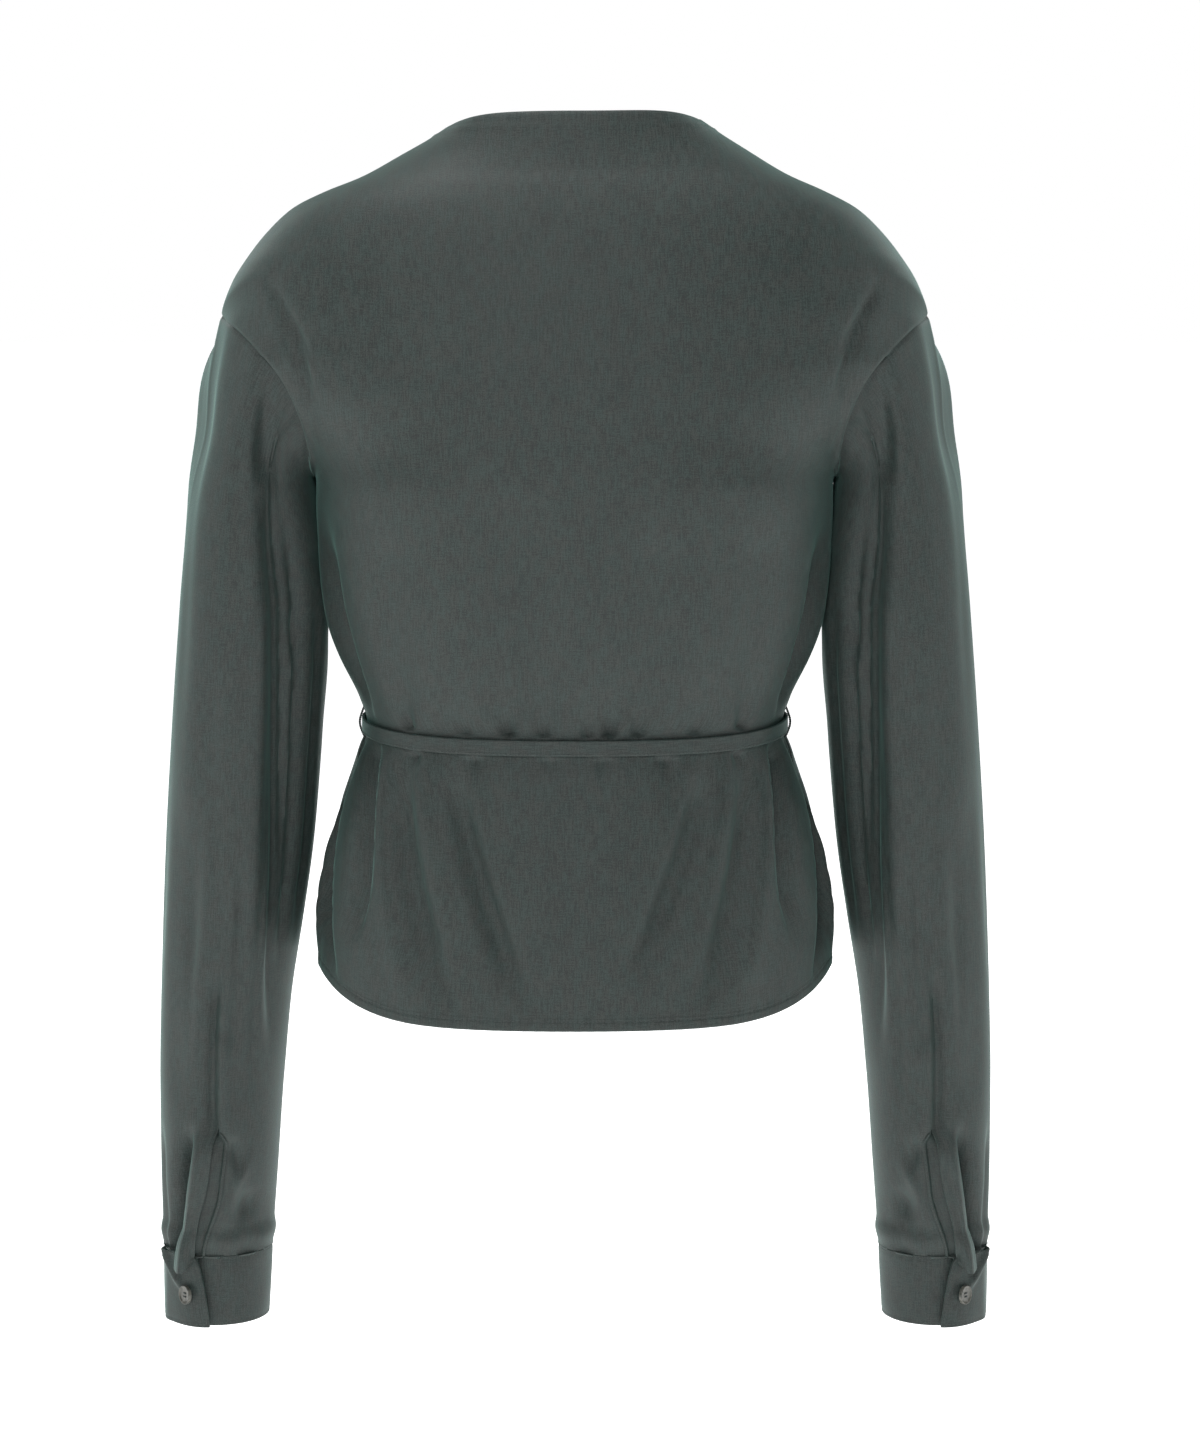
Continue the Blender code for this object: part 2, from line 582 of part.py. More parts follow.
def make_button(half, side_name, finish):
    """A turned disc with a raised rim, drilled with four holes, on the cuff's buttoned end."""
    turn = BUTTON_TURN + 360
    share = (BUTTON_LEVEL - CUFF_TOP) / (CUFF_BOTTOM - CUFF_TOP)
    outward = cuff_normal(turn)
    seat = cuff_point(turn, share) + outward * (SEAM_GAP + BUTTON_THICKNESS / 2 + 0.25 * MM)
    seat, outward = seat * (half, 1, 1), outward * (half, 1, 1)
    profile = ((0.0, -0.5), (0.86, -0.5), (1.0, -0.2), (1.0, 0.3), (0.9, 0.5), (0.78, 0.42), (0.66, 0.12), (0.0, 0.12))
    steps = 18
    shape = bmesh.new()
    rings = []
    for radius, height in profile:
        z = height * BUTTON_THICKNESS
        if radius == 0.0:
            rings.append([shape.verts.new((0.0, 0.0, z))])
            continue
        r = radius * BUTTON_RADIUS
        rings.append([
            shape.verts.new((r * math.cos(2 * math.pi * k / steps), r * math.sin(2 * math.pi * k / steps), z))
            for k in range(steps)
        ])
    for low, high in zip(rings, rings[1:]):
        for k in range(steps):
            corners = [low[k % len(low)], low[(k + 1) % len(low)], high[(k + 1) % len(high)], high[k % len(high)]]
            shape.faces.new(list(dict.fromkeys(corners)))
    bmesh.ops.recalc_face_normals(shape, faces=shape.faces)
    mesh = bpy.data.meshes.new(f"button_{side_name}")
    shape.to_mesh(mesh)
    shape.free()
    mesh.materials.append(finish)
    button = bpy.data.objects.new(f"button_{side_name}", mesh)
    bpy.data.collections["Blouse"].objects.link(button)
    facing = bpy.data.objects.new(f"button_seat_{side_name}", None)
    bpy.data.collections["Blouse"].objects.link(facing)
    facing.location = Vector(seat)
    facing.rotation_mode = "QUATERNION"
    facing.rotation_quaternion = Vector(outward).to_track_quat("Z", "Y")
    button.parent = facing
    drill(button, side_name)
    return button


def drill(button, side_name):
    """Four thread holes through a button."""
    spread = 1.5 * MM
    for k in range(4):
        a = math.radians(45 + 90 * k)
        bpy.ops.mesh.primitive_cylinder_add(
            vertices=6, radius=0.7 * MM, depth=4 * BUTTON_THICKNESS,
            location=(spread * math.cos(a), spread * math.sin(a), 0.0),
        )
        cutter = bpy.context.object
        cutter.name = f"hole_cutter_{side_name}_{k}"
        cutter.parent = button.parent
        cutter.hide_render = True
        cutter.display_type = "WIRE"
        for collection in list(cutter.users_collection):
            collection.objects.unlink(cutter)
        bpy.data.collections["Cutters"].objects.link(cutter)
        hole = button.modifiers.new(f"Hole {k}", "BOOLEAN")
        hole.operation = "DIFFERENCE"
        hole.object = cutter


# The tie

def tie_line(clearance):
    """The closed line round the waist that the tie's inner face follows, from the front's
    middle round the wearer's left side to the back and on to the front again."""
    front = base_row(WAIST_ROW, "front")
    back = base_row(WAIST_ROW, "back")
    front_out = row_normals(WAIST_ROW, "front")
    back_out = row_normals(WAIST_ROW, "back")
    half = np.concatenate([front + front_out * clearance, (back + back_out * clearance)[::-1][1:]])
    other = (half * (-1, 1, 1))[::-1]
    return np.concatenate([half, other[1:-1]])


def make_tie(finish):
    line = tie_line(TIE_CLEARANCE)
    closed = np.concatenate([line, line[:1]])
    along = lengths_along(closed)
    knot_half = KNOT_SIZE[0] / 2 + SEAM_GAP
    wanted = np.linspace(knot_half, along[-1] - knot_half, 52)
    path = np.stack([np.interp(wanted, along, closed[:, a]) for a in range(3)], axis=1)
    grid = np.array([path + (0, 0, TIE_WIDTH * share) for share in (-0.5, 0.5)])
    return cloth_object("tie", grid_mesh("tie", grid), finish, TIE_WALL, side=1.0)


def make_knot(finish):
    """The knot: a rounded block of cloth at the front of the waist."""
    front = base_row(WAIST_ROW, "front")[0]
    middle_y = front[1] - TIE_CLEARANCE - KNOT_SIZE[1] / 2 + 0.4 * MM
    bpy.ops.mesh.primitive_cube_add(size=1.0, location=(0.0, middle_y, front[2]))
    knot = bpy.context.object
    knot.name = "knot"
    knot.data.name = "knot"
    for vertex in knot.data.vertices:
        vertex.co = tuple(c * s for c, s in zip(vertex.co, KNOT_SIZE))
    edge = knot.modifiers.new("Edges", "BEVEL")
    edge.width = 3.0 * MM
    edge.segments = 3
    for collection in list(knot.users_collection):
        collection.objects.unlink(knot)
    bpy.data.collections["Blouse"].objects.link(knot)
    knot.data.materials.append(finish)
    return knot


def front_surface(x, z):
    """The front's outer surface, without folds, at a distance from its middle and a level."""
    places = np.linspace(0.0, WAIST_ROW, 60)
    best = None
    for place in places:
        row = base_row(place, "front")
        y = np.interp(abs(x), row[:, 0], row[:, 1])
        level = np.interp(abs(x), row[:, 0], row[:, 2])
        if best is None or abs(level - z) < best[0]:
            best = (abs(level - z), y)
    return best[1]


def make_tie_end(half, side_name, finish):
    """A free end of the tie, which hangs from the knot down the front of the skirt."""
    start = base_row(WAIST_ROW, "front")[0][2] - KNOT_SIZE[2] / 2 - 2.5 * SEAM_GAP
    rows = []
    for share in np.linspace(0.0, 1.0, 12):
        x = half * (6.0 + 13.0 * share) * MM
        z = start - TIE_END_LENGTH * (1.0 if half > 0 else 0.93) * share
        y = front_surface(x, z) - TIE_CLEARANCE - 0.6 * MM
        across = TIE_WIDTH / 2 - 0.4 * MM
        tilt = half * math.radians(5)
        rows.append([
            (x + across * s * math.cos(tilt), y, z + across * s * math.sin(tilt)) for s in (-1, 0, 1)
        ])
    mesh = grid_mesh(f"tie_end_{side_name}", np.array(rows)[::-1])
    return cloth_object(f"tie_end_{side_name}", mesh, finish, TIE_WALL, side=1.0)


def side_seam_x(z):
    """How far the side seam is from the middle of the body at a level."""
    edges = np.array([folded_row(place, "back", 1)[0][-1] for place in np.linspace(0, UNDERARM_ROW, 80)])
    return float(np.interp(z, edges[:, 2], edges[:, 0]))


def make_carrier(half, side_name, finish):
    """A thread loop at the side seam, which passes outside the tie."""
    seam = base_row(WAIST_ROW, "back")[-1]
    round_tie = TIE_CLEARANCE + TIE_WALL + CARRIER_RADIUS + 0.8 * MM
    touching = CARRIER_RADIUS + 0.5 * MM
    curve = bpy.data.curves.new(f"carrier_{side_name}", "CURVE")
    curve.dimensions = "3D"
    curve.bevel_depth = CARRIER_RADIUS
    curve.bevel_resolution = 1
    curve.use_fill_caps = True
    line = curve.splines.new("POLY")
    shares = np.linspace(0.0, 1.0, 7)
    line.points.add(len(shares) - 1)
    for point, share in zip(line.points, shares):
        z = seam[2] + CARRIER_REACH * (1 - 2 * share)
        swell = math.sin(math.pi * share)
        x = (side_seam_x(z) + touching) * (1 - swell) + (seam[0] + round_tie) * swell
        point.co = (half * x, seam[1], z, 1.0)
    thing = bpy.data.objects.new(f"carrier_{side_name}", curve)
    bpy.data.collections["Blouse"].objects.link(thing)
    curve.materials.append(finish)
    return thing


def main():
    clear_scene()
    for name in ("Blouse", "Cutters"):
        collection = bpy.data.collections.new(name)
        bpy.context.scene.collection.children.link(collection)
    cloth = material("cloth", (0.065, 0.085, 0.080), 0.62)
    button_finish = material("button", (0.16, 0.16, 0.14), 0.35)
    thread = material("thread", (0.05, 0.065, 0.06), 0.7)
    make_back(cloth)
    make_front(cloth)
    make_tie(cloth)
    make_knot(cloth)
    for half, side_name in ((1, "left"), (-1, "right")):
        make_sleeve(half, side_name, cloth)
        make_placket(half, side_name, cloth)
        make_cuff(half, side_name, cloth)
        make_button(half, side_name, button_finish)
        make_tie_end(half, side_name, cloth)
        make_carrier(half, side_name, thread)


main()
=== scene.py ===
# %% [markdown]
# # A cowl neck blouse, filled out as it is when worn
#
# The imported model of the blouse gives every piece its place. Around it this lesson builds the
# visible blouse: fine sheets of cloth with their folds, turned hems, seams and stitches. The
# blouse is shown from behind. Units are metres, +Z is up and the front of the blouse faces -Y,
# so the wearer's left is +X.

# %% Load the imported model
import json
import math

import bpy
import numpy as np
from mathutils import Matrix, Vector

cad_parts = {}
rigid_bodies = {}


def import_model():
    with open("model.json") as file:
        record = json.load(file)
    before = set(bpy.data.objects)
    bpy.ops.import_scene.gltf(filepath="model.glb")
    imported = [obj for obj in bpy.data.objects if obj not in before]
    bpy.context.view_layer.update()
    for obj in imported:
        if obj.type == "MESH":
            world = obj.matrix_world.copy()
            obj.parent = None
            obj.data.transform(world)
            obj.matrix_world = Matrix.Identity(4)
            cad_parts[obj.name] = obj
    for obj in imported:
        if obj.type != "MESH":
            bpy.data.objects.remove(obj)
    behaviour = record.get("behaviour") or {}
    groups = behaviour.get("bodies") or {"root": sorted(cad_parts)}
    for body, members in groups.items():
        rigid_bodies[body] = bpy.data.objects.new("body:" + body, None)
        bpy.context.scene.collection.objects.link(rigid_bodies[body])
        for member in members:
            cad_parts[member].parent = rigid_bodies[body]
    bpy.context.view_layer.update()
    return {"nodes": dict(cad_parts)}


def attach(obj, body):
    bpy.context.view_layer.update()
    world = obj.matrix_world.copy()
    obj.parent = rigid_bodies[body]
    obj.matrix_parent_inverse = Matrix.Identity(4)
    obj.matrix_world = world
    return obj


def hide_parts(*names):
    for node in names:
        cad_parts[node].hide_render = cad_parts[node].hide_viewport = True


MM = 0.001
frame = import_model()
print("packed nodes:", sorted(frame["nodes"]))

# %% [markdown]
# ## Camera
#
# The photograph looks at the back from a little above, with a long lens. Here the camera stands
# 2.7 m behind the blouse at the height of its neck and looks down by seven and a half degrees.

# %% Camera
CAMERA_PLACE = (-0.015, 2.70, 0.0)
LOOK_DOWN = math.radians(7.532)
camera_data = bpy.data.cameras.new("Camera")
camera_data.lens = 113.48
camera_data.sensor_width = 36.0
camera = bpy.data.objects.new("Camera", camera_data)
camera.location = CAMERA_PLACE
camera.rotation_euler = (math.pi / 2 - LOOK_DOWN, 0.0, math.pi)
bpy.context.scene.collection.objects.link(camera)
bpy.context.scene.camera = camera
print("camera stands at", CAMERA_PLACE)

# %% [markdown]
# ## Floor and light
#
# A dark satin shows its folds by light that comes from one side of each fold. One lamp above the
# camera gives that, and a broad one over the shoulders brings out their bloom. A pair at the
# sides and a pair before the chest keep the edges and the front from going black. The surround
# looks white but gives little light. The floor is as white, so that no horizon shows, and it
# lies below the blouse, which is held by its neck.

# %% Floor and light
FLOOR_LEVEL = -0.86


def area_light(name, place, target, size, watts):
    lamp = bpy.data.lights.new(name, "AREA")
    lamp.shape = "RECTANGLE"
    lamp.size, lamp.size_y = size
    lamp.energy = watts
    thing = bpy.data.objects.new(name, lamp)
    thing.location = place
    aim = Vector(target) - Vector(place)
    thing.rotation_euler = aim.to_track_quat("-Z", "Y").to_euler()
    bpy.context.scene.collection.objects.link(thing)


for side in (1, -1):
    area_light(f"Side light {side}", (side * 2.4, -0.15, 0.6), (0.0, 0.0, -0.35), (0.5, 1.2), 9)
    area_light(f"Front light {side}", (side * 1.9, -2.6, 0.9), (0.0, 0.0, -0.4), (0.8, 1.4), 15)
area_light("Camera light", (0.45, 3.0, 1.3), (0.0, 0.0, -0.35), (0.7, 0.7), 32)
area_light("Shoulder light", (0.3, -0.1, 2.1), (0.0, 0.0, -0.1), (1.4, 0.8), 44)

SURROUND_SEEN = 1.0  # how bright the surround looks
SURROUND_LIGHT = 0.10  # how much light it gives
world = bpy.data.worlds.new("Pale surround")
bpy.context.scene.world = world
world.use_nodes = True
surround = world.node_tree.nodes["Background"]
surround.inputs["Color"].default_value = (1.0, 1.0, 1.0, 1.0)
seen = world.node_tree.nodes.new("ShaderNodeLightPath")
strength = world.node_tree.nodes.new("ShaderNodeMapRange")
strength.inputs["To Min"].default_value = SURROUND_LIGHT
strength.inputs["To Max"].default_value = SURROUND_SEEN
world.node_tree.links.new(seen.outputs["Is Camera Ray"], strength.inputs["Value"])
world.node_tree.links.new(strength.outputs["Result"], surround.inputs["Strength"])
bpy.context.scene.view_settings.view_transform = "Standard"

bpy.ops.object.select_all(action="DESELECT")
bpy.ops.mesh.primitive_plane_add(size=30.0, location=(0.0, 0.0, FLOOR_LEVEL))
floor = bpy.context.object
floor.name = "floor"
floor_finish = bpy.data.materials.new("Pale floor")
floor_finish.use_nodes = True
floor_shader = floor_finish.node_tree.nodes["Principled BSDF"]
floor_shader.inputs["Base Color"].default_value = (0.86, 0.86, 0.86, 1.0)
floor_shader.inputs["Roughness"].default_value = 0.9
floor_shader.inputs["Emission Color"].default_value = (1.0, 1.0, 1.0, 1.0)
floor_shader.inputs["Emission Strength"].default_value = 1.0
floor.data.materials.append(floor_finish)
print("floor at", FLOOR_LEVEL)

# %% [markdown]
# ## The pattern of the cloth
#
# The cloth is a shot twill: the warp threads are green and the weft threads are brown, so its
# colour wavers, and thicker threads make short vertical streaks. One node group makes the
# pattern for every piece. It reads flat coordinates in metres, across and along the cut piece,
# so that the threads follow the cloth round each fold.

# %% The node group of the shot twill


def socket(group, name, kind, goes_in, value=None):
    made = group.interface.new_socket(
        name=name, in_out="INPUT" if goes_in else "OUTPUT", socket_type=kind
    )
    if value is not None:
        made.default_value = value


def node(tree, kind, **settings):
    """A node with its settings. A setting named i0, i1… is the value of that input."""
    made = tree.nodes.new(kind)
    for name, value in settings.items():
        if name[0] == "i" and name[1:].isdigit():
            made.inputs[int(name[1:])].default_value = value
        else:
            setattr(made, name, value)
    return made


def stretched_noise(tree, flat, across, along, detail=2.0):
    """Noise whose grains are so many to a metre across and along the cloth."""
    scaled = node(tree, "ShaderNodeVectorMath", operation="MULTIPLY", i1=(across, along, 1.0))
    tree.links.new(flat, scaled.inputs[0])
    noise = node(tree, "ShaderNodeTexNoise", noise_dimensions="2D")
    noise.inputs["Scale"].default_value = 1.0
    noise.inputs["Detail"].default_value = detail
    noise.inputs["Roughness"].default_value = 0.6
    tree.links.new(scaled.outputs[0], noise.inputs["Vector"])
    return noise.outputs["Fac"]


def combine(tree, operation, one, other):
    made = node(tree, "ShaderNodeMath", operation=operation)
    for place, value in enumerate((one, other)):
        if isinstance(value, (int, float)):
            made.inputs[place].default_value = value
        else:
            tree.links.new(value, made.inputs[place])
    return made.outputs[0]


def build_twill_group():
    group = bpy.data.node_groups.new("Shot twill", "ShaderNodeTree")
    socket(group, "Flat", "NodeSocketVector", True)
    socket(group, "Threads", "NodeSocketFloat", True, 1.0)
    socket(group, "Shade", "NodeSocketFloat", False)
    socket(group, "Height", "NodeSocketFloat", False)
    socket(group, "Colour Drift", "NodeSocketFloat", False)
    start = node(group, "NodeGroupInput")
    end = node(group, "NodeGroupOutput")
    flat = start.outputs["Flat"]
    streaks = stretched_noise(group, flat, 1200.0, 105.0, 3.0)
    weft = stretched_noise(group, flat, 160.0, 1300.0, 2.0)
    clouds = stretched_noise(group, flat, 55.0, 26.0, 3.0)
    grain = stretched_noise(group, flat, 1500.0, 1300.0, 2.0)
    threads = combine(group, "MULTIPLY", streaks, 0.35)
    threads = combine(group, "ADD", threads, combine(group, "MULTIPLY", weft, 0.22))
    threads = combine(group, "ADD", threads, combine(group, "MULTIPLY", grain, 0.43))
    threads = combine(group, "SUBTRACT", threads, 0.5)
    threads = combine(group, "MULTIPLY", threads, start.outputs["Threads"])
    clouded = combine(group, "MULTIPLY", combine(group, "SUBTRACT", clouds, 0.5), 0.30)
    drift = stretched_noise(group, flat, 150.0, 90.0, 3.0)
    drift = combine(group, "MULTIPLY", combine(group, "SUBTRACT", drift, 0.5), 3.4)
    group.links.new(combine(group, "ADD", drift, 0.5), end.inputs["Colour Drift"])
    shade = combine(group, "ADD", combine(group, "ADD", threads, clouded), 0.5)
    group.links.new(shade, end.inputs["Shade"])
    group.links.new(combine(group, "ADD", threads, 0.5), end.inputs["Height"])
    return group


TWILL = build_twill_group()
print("made the node group", TWILL.name)

# %% [markdown]
# ## Finishes
#
# Each cloth reads the same group with its own colours. Sheen gives the green bloom where the
# cloth turns away, over the shoulders and along the edges of folds. The button is a cloudy
# grey plastic, and the thread is the colour of the cloth.

# %% Finishes
BROWN_THREADS = (1.0, 0.93, 0.92)  # what the drift of the colour multiplies
GREEN_THREADS = (0.92, 1.0, 0.99)
THREAD_CONTRAST = 3.5
CLOTH_ROUGHNESS = (0.50, 0.66)  # of its dark and of its light threads
SHEEN_TINT = (0.38, 0.80, 0.70, 1.0)


def new_finish(name):
    made = bpy.data.materials.new(name)
    made.use_nodes = True
    return made, made.node_tree, made.node_tree.nodes["Principled BSDF"]


def colour_ramp(tree, value, places, colours):
    """A value turned into a colour between two."""
    ramp = node(tree, "ShaderNodeValToRGB")
    for element, place, colour in zip(ramp.color_ramp.elements, places, colours):
        element.position = place
        element.color = (*colour, 1.0)
    tree.links.new(value, ramp.inputs["Fac"])
    return ramp.outputs["Color"]


def raise_surface(tree, shader, height, strength, distance):
    bump = node(tree, "ShaderNodeBump")
    bump.inputs["Strength"].default_value = strength
    bump.inputs["Distance"].default_value = distance
    tree.links.new(height, bump.inputs["Height"])
    tree.links.new(bump.outputs["Normal"], shader.inputs["Normal"])


def cloth_finish(name, dark, light):
    made, tree, shader = new_finish(name)
    flat = node(tree, "ShaderNodeUVMap", uv_map="Cloth")
    twill = node(tree, "ShaderNodeGroup", node_tree=TWILL)
    twill.inputs["Threads"].default_value = THREAD_CONTRAST
    tree.links.new(flat.outputs[0], twill.inputs["Flat"])
    shade = colour_ramp(tree, twill.outputs["Shade"], (0.22, 0.78), (dark, light))
    drift = twill.outputs["Colour Drift"]
    tint = colour_ramp(tree, drift, (0.1, 0.9), (BROWN_THREADS, GREEN_THREADS))
    tinted = node(tree, "ShaderNodeVectorMath", operation="MULTIPLY")
    tree.links.new(shade, tinted.inputs[0])
    tree.links.new(tint, tinted.inputs[1])
    tree.links.new(tinted.outputs[0], shader.inputs["Base Color"])
    rough = node(tree, "ShaderNodeMapRange")
    rough.inputs["To Min"].default_value = CLOTH_ROUGHNESS[0]
    rough.inputs["To Max"].default_value = CLOTH_ROUGHNESS[1]
    tree.links.new(twill.outputs["Shade"], rough.inputs["Value"])
    tree.links.new(rough.outputs["Result"], shader.inputs["Roughness"])
    raise_surface(tree, shader, twill.outputs["Height"], 0.35, 0.15 * MM)
    shader.inputs["Sheen Weight"].default_value = 0.2
    shader.inputs["Sheen Roughness"].default_value = 0.38
    shader.inputs["Sheen Tint"].default_value = SHEEN_TINT
    shader.inputs["Specular IOR Level"].default_value = 0.35
    return made


def plain_finish(name, dark, light, scale, roughness, bump_distance):
    made, tree, shader = new_finish(name)
    place = node(tree, "ShaderNodeTexCoord")
    noise = node(tree, "ShaderNodeTexNoise")
    noise.inputs["Scale"].default_value = scale
    noise.inputs["Detail"].default_value = 3.0
    tree.links.new(place.outputs["Object"], noise.inputs["Vector"])
    colour = colour_ramp(tree, noise.outputs["Fac"], (0.35, 0.65), (dark, light))
    tree.links.new(colour, shader.inputs["Base Color"])
    raise_surface(tree, shader, noise.outputs["Fac"], 0.4, bump_distance)
    shader.inputs["Roughness"].default_value = roughness
    return made


CLOTH_FINISH = cloth_finish("Shot twill", (0.0232, 0.0308, 0.0294), (0.0490, 0.0626, 0.0582))
TIE_FINISH = cloth_finish("Twill of the tie", (0.0232, 0.0308, 0.0294), (0.0480, 0.0612, 0.0570))
BUTTON_FINISH = plain_finish(
    "Cloudy button", (0.062, 0.066, 0.056), (0.135, 0.134, 0.115), 420.0, 0.30, 0.03 * MM
)
THREAD_FINISH = plain_finish(
    "Sewing thread", (0.030, 0.042, 0.039), (0.060, 0.078, 0.073), 2400.0, 0.6, 0.05 * MM
)
print("made the finishes of cloth, tie, button and thread")

# %% [markdown]
# ## Small tools for lines and tables
#
# The blouse's shape is written down in short tables in millimetres, one row for each level.
# These helpers read a table between its rows, smoothly, and walk evenly along a line.

# %% Small tools


def smoothstep(value):
    value = np.clip(value, 0.0, 1.0)
    return value * value * (3.0 - 2.0 * value)


def unit(vectors):
    return vectors / np.maximum(np.linalg.norm(vectors, axis=-1, keepdims=True), 1e-12)


def level_slope(one, other):
    """The slope between two rises: none where one rises and the other falls."""
    product, total = one * other, one + other
    return np.where(product > 0, 2 * product / np.where(product > 0, total, 1.0), 0.0)


def between_rows(rows, place):
    """The rows of a table read at a place between them."""
    table = np.array(rows, float)
    last = len(table) - 1
    k = min(int(min(max(place, 0.0), float(last))), last - 1)
    f = min(max(place, 0.0), float(last)) - k
    rises = np.diff(table, axis=0)
    here = rises[k]
    before = level_slope(rises[k - 1] if k > 0 else here, here)
    after = level_slope(here, rises[k + 1] if k + 1 < last else here)
    return (
        table[k]
        + here * (3 * f**2 - 2 * f**3)
        + before * (f**3 - 2 * f**2 + f)
        + after * (f**3 - f**2)
    )


def lengths_along(points):
    steps = np.linalg.norm(np.diff(points, axis=0), axis=1)
    return np.concatenate([[0.0], np.cumsum(steps)])


def walk_values(points, values, wanted):
    """Values that belong to a line's points, at the wanted distances along it."""
    along = lengths_along(points)
    return np.stack([np.interp(wanted, along, values[:, axis]) for axis in range(3)], axis=1)


def walk(points, wanted):
    """Points at the wanted distances along a line."""
    return walk_values(points, points, wanted)


def lengths_down(grid):
    """How far each point of a grid is from the first row, down its column."""
    steps = np.linalg.norm(np.diff(grid, axis=0), axis=2)
    return np.concatenate([np.zeros((1, grid.shape[1])), np.cumsum(steps, axis=0)])


# %% [markdown]
# ## The form of the body
#
# A row of the table is one level of the back and of the front: where the panel ends at its
# seam, which way it points there, and where its middle lies. The same numbers shaped the packed
# model, so the fine sheets lie where its solids do.

# %% The form of the body
BODY_COLUMNS = (
    "edge_x", "edge_back_y", "edge_front_y", "edge_z", "turn", "fall", "reach",
    "back_y", "back_z", "front_y", "front_z", "front_dip",
)
BODY_ROWS = (
    (155.0, 0, 0, -500, 90, 0, 1.95, 112, -524, 122, -524, 6.0),  # hem
    (154.5, 0, 0, -479, 90, 0, 1.95, 111, -498, 122, -498, 6.0),
    (150.0, 0, 0, -442, 90, 0, 1.95, 108, -455, 119, -456, 6.0),
    (142.5, 0, 0, -406, 90, 0, 1.95, 103, -413, 112, -414, 6.0),
    (132.0, 0, 0, -377, 90, 0, 1.95, 98, -380, 103, -381, 6.0),
    (124.5, 0, 0, -358, 90, 0, 1.95, 95, -361, 98, -361, 6.0),  # waist, under the tie
    (129.0, 0, 0, -341, 90, 0, 1.95, 97, -343, 102, -344, 6.0),
    (138.5, -1, -1, -315, 90, 0, 2.00, 101, -315, 112, -320, 5.0),
    (147.0, -3, -3, -282, 90, 0, 2.15, 104, -279, 124, -294, 4.0),
    (151.0, -5, -5, -248, 90, 0, 2.35, 106, -242, 131, -269, 3.4),
    (153.5, -5, -5, -215, 90, 0, 2.60, 107, -209, 132, -246, 3.0),  # underarm
    (154.5, 27, -36, -206, 76, 0, 2.30, 107, -194, 131, -236, 2.8),
    (158.0, 52, -58, -183, 52, 0, 2.05, 106, -177, 128, -226, 2.7),
    (165.0, 61, -66, -161, 38, 0, 1.95, 105, -160, 124, -216, 2.6),
    (176.0, 58, -63, -143, 36, 3, 1.95, 103, -144, 120, -207, 2.5),
    (190.0, 44, -50, -129, 44, 8, 1.95, 101, -129, 116, -199, 2.4),
    (203.0, 23, -29, -119, 59, 17, 1.95, 99, -114, 112, -191, 2.4),
    (210.0, -4, -4, -115, 78, 30, 1.95, 97, -100, 108, -183, 2.4),  # tip of the shoulder seam
    (204.5, -4, -4, -99, 79, 22, 1.95, 94, -87, 104, -174, 2.4),
    (194.5, -4, -4, -82, 80, 14, 1.95, 90, -74, 101, -166, 2.4),
    (182.0, -4, -4, -66, 83, 8, 1.95, 85, -61, 98, -159, 2.4),
    (167.0, -5, -5, -52, 86, 3, 1.95, 79, -48, 96, -152, 2.4),
    (148.0, -6, -6, -42, 90, 0, 1.95, 73, -37, 94, -146, 2.4),
    (125.5, -6, -6, -32.5, 90, 0, 1.95, 67, -27, 93, -140, 2.4),
    (102.0, -6, -6, -19, 90, 0, 1.95, 62, -16, 92, -135, 2.4),
    (86.0, -6, -6, -9.5, 90, 0, 1.95, 58, -5, 91, -130, 2.4),
    (75.0, -6, -6, -2, 90, 0, 1.95, 55, 5, 90, -125, 2.4),  # neck
)
WAIST_ROW = 5
UNDERARM_ROW = 10
SHOULDER_TIP_ROW = 17
NECK_ROW = len(BODY_ROWS) - 1
MIDDLE_REACH = 1.95  # how far a row holds its direction at its middle
BACK_DIP = 6.0  # back rows stay level and bend only close to their edge
NECK_TILT = 4 * MM  # the back neck stands this much higher at the wearer's right
ROW_STEPS = 240  # steps of a row before it is divided evenly


def named_row(place):
    return dict(zip(BODY_COLUMNS, between_rows(BODY_ROWS, place)))


def arrival(row, panel):
    """The direction in which a row meets its edge."""
    turn, fall = math.radians(row["turn"]), math.radians(row["fall"])
    round_to = -1.0 if panel == "back" else 1.0
    return np.array([
        math.cos(turn) * math.cos(fall),
        round_to * math.sin(turn) * math.cos(fall),
        -math.sin(fall),
    ])


def base_row(place, panel):
    """A row of a panel from its middle to the wearer's left edge, with no folds."""
    row = named_row(place)
    if panel == "back":
        edge_y, middle_y, middle_z, dip = row["edge_back_y"], row["back_y"], row["back_z"], BACK_DIP
    else:
        edge_y, middle_y = row["edge_front_y"], -row["front_y"]
        middle_z, dip = row["front_z"], row["front_dip"]
    s = np.linspace(0.0, 1.0, ROW_STEPS + 1)
    ends_at, leaves, arrives = 3 * s**2 - 2 * s**3, s**3 - 2 * s**2 + s, s**3 - s**2
    toward = arrival(row, panel) * row["reach"] * abs(middle_y - edge_y)
    x = row["edge_x"] * (ends_at + MIDDLE_REACH * leaves) + toward[0] * arrives
    y = middle_y + (edge_y - middle_y) * ends_at + toward[1] * arrives
    across = np.clip(x / row["edge_x"], 0.0, 1.0)
    z = row["edge_z"] + (middle_z - row["edge_z"]) * (1.0 - across**dip) + toward[2] * arrives
    return np.stack([x, y, z], axis=1) * MM


def row_normals(place, panel):
    """The outward direction at each point of base_row."""
    step = 0.02
    low, high = max(place - step, 0.0), min(place + step, float(NECK_ROW))
    points = base_row(place, panel)
    up = base_row(high, panel) - base_row(low, panel)
    along = np.gradient(points, axis=0)
    along[0] = (1.0, 0.0, 0.0)
    outward = np.cross(along, up) if panel == "front" else np.cross(up, along)
    return unit(outward)


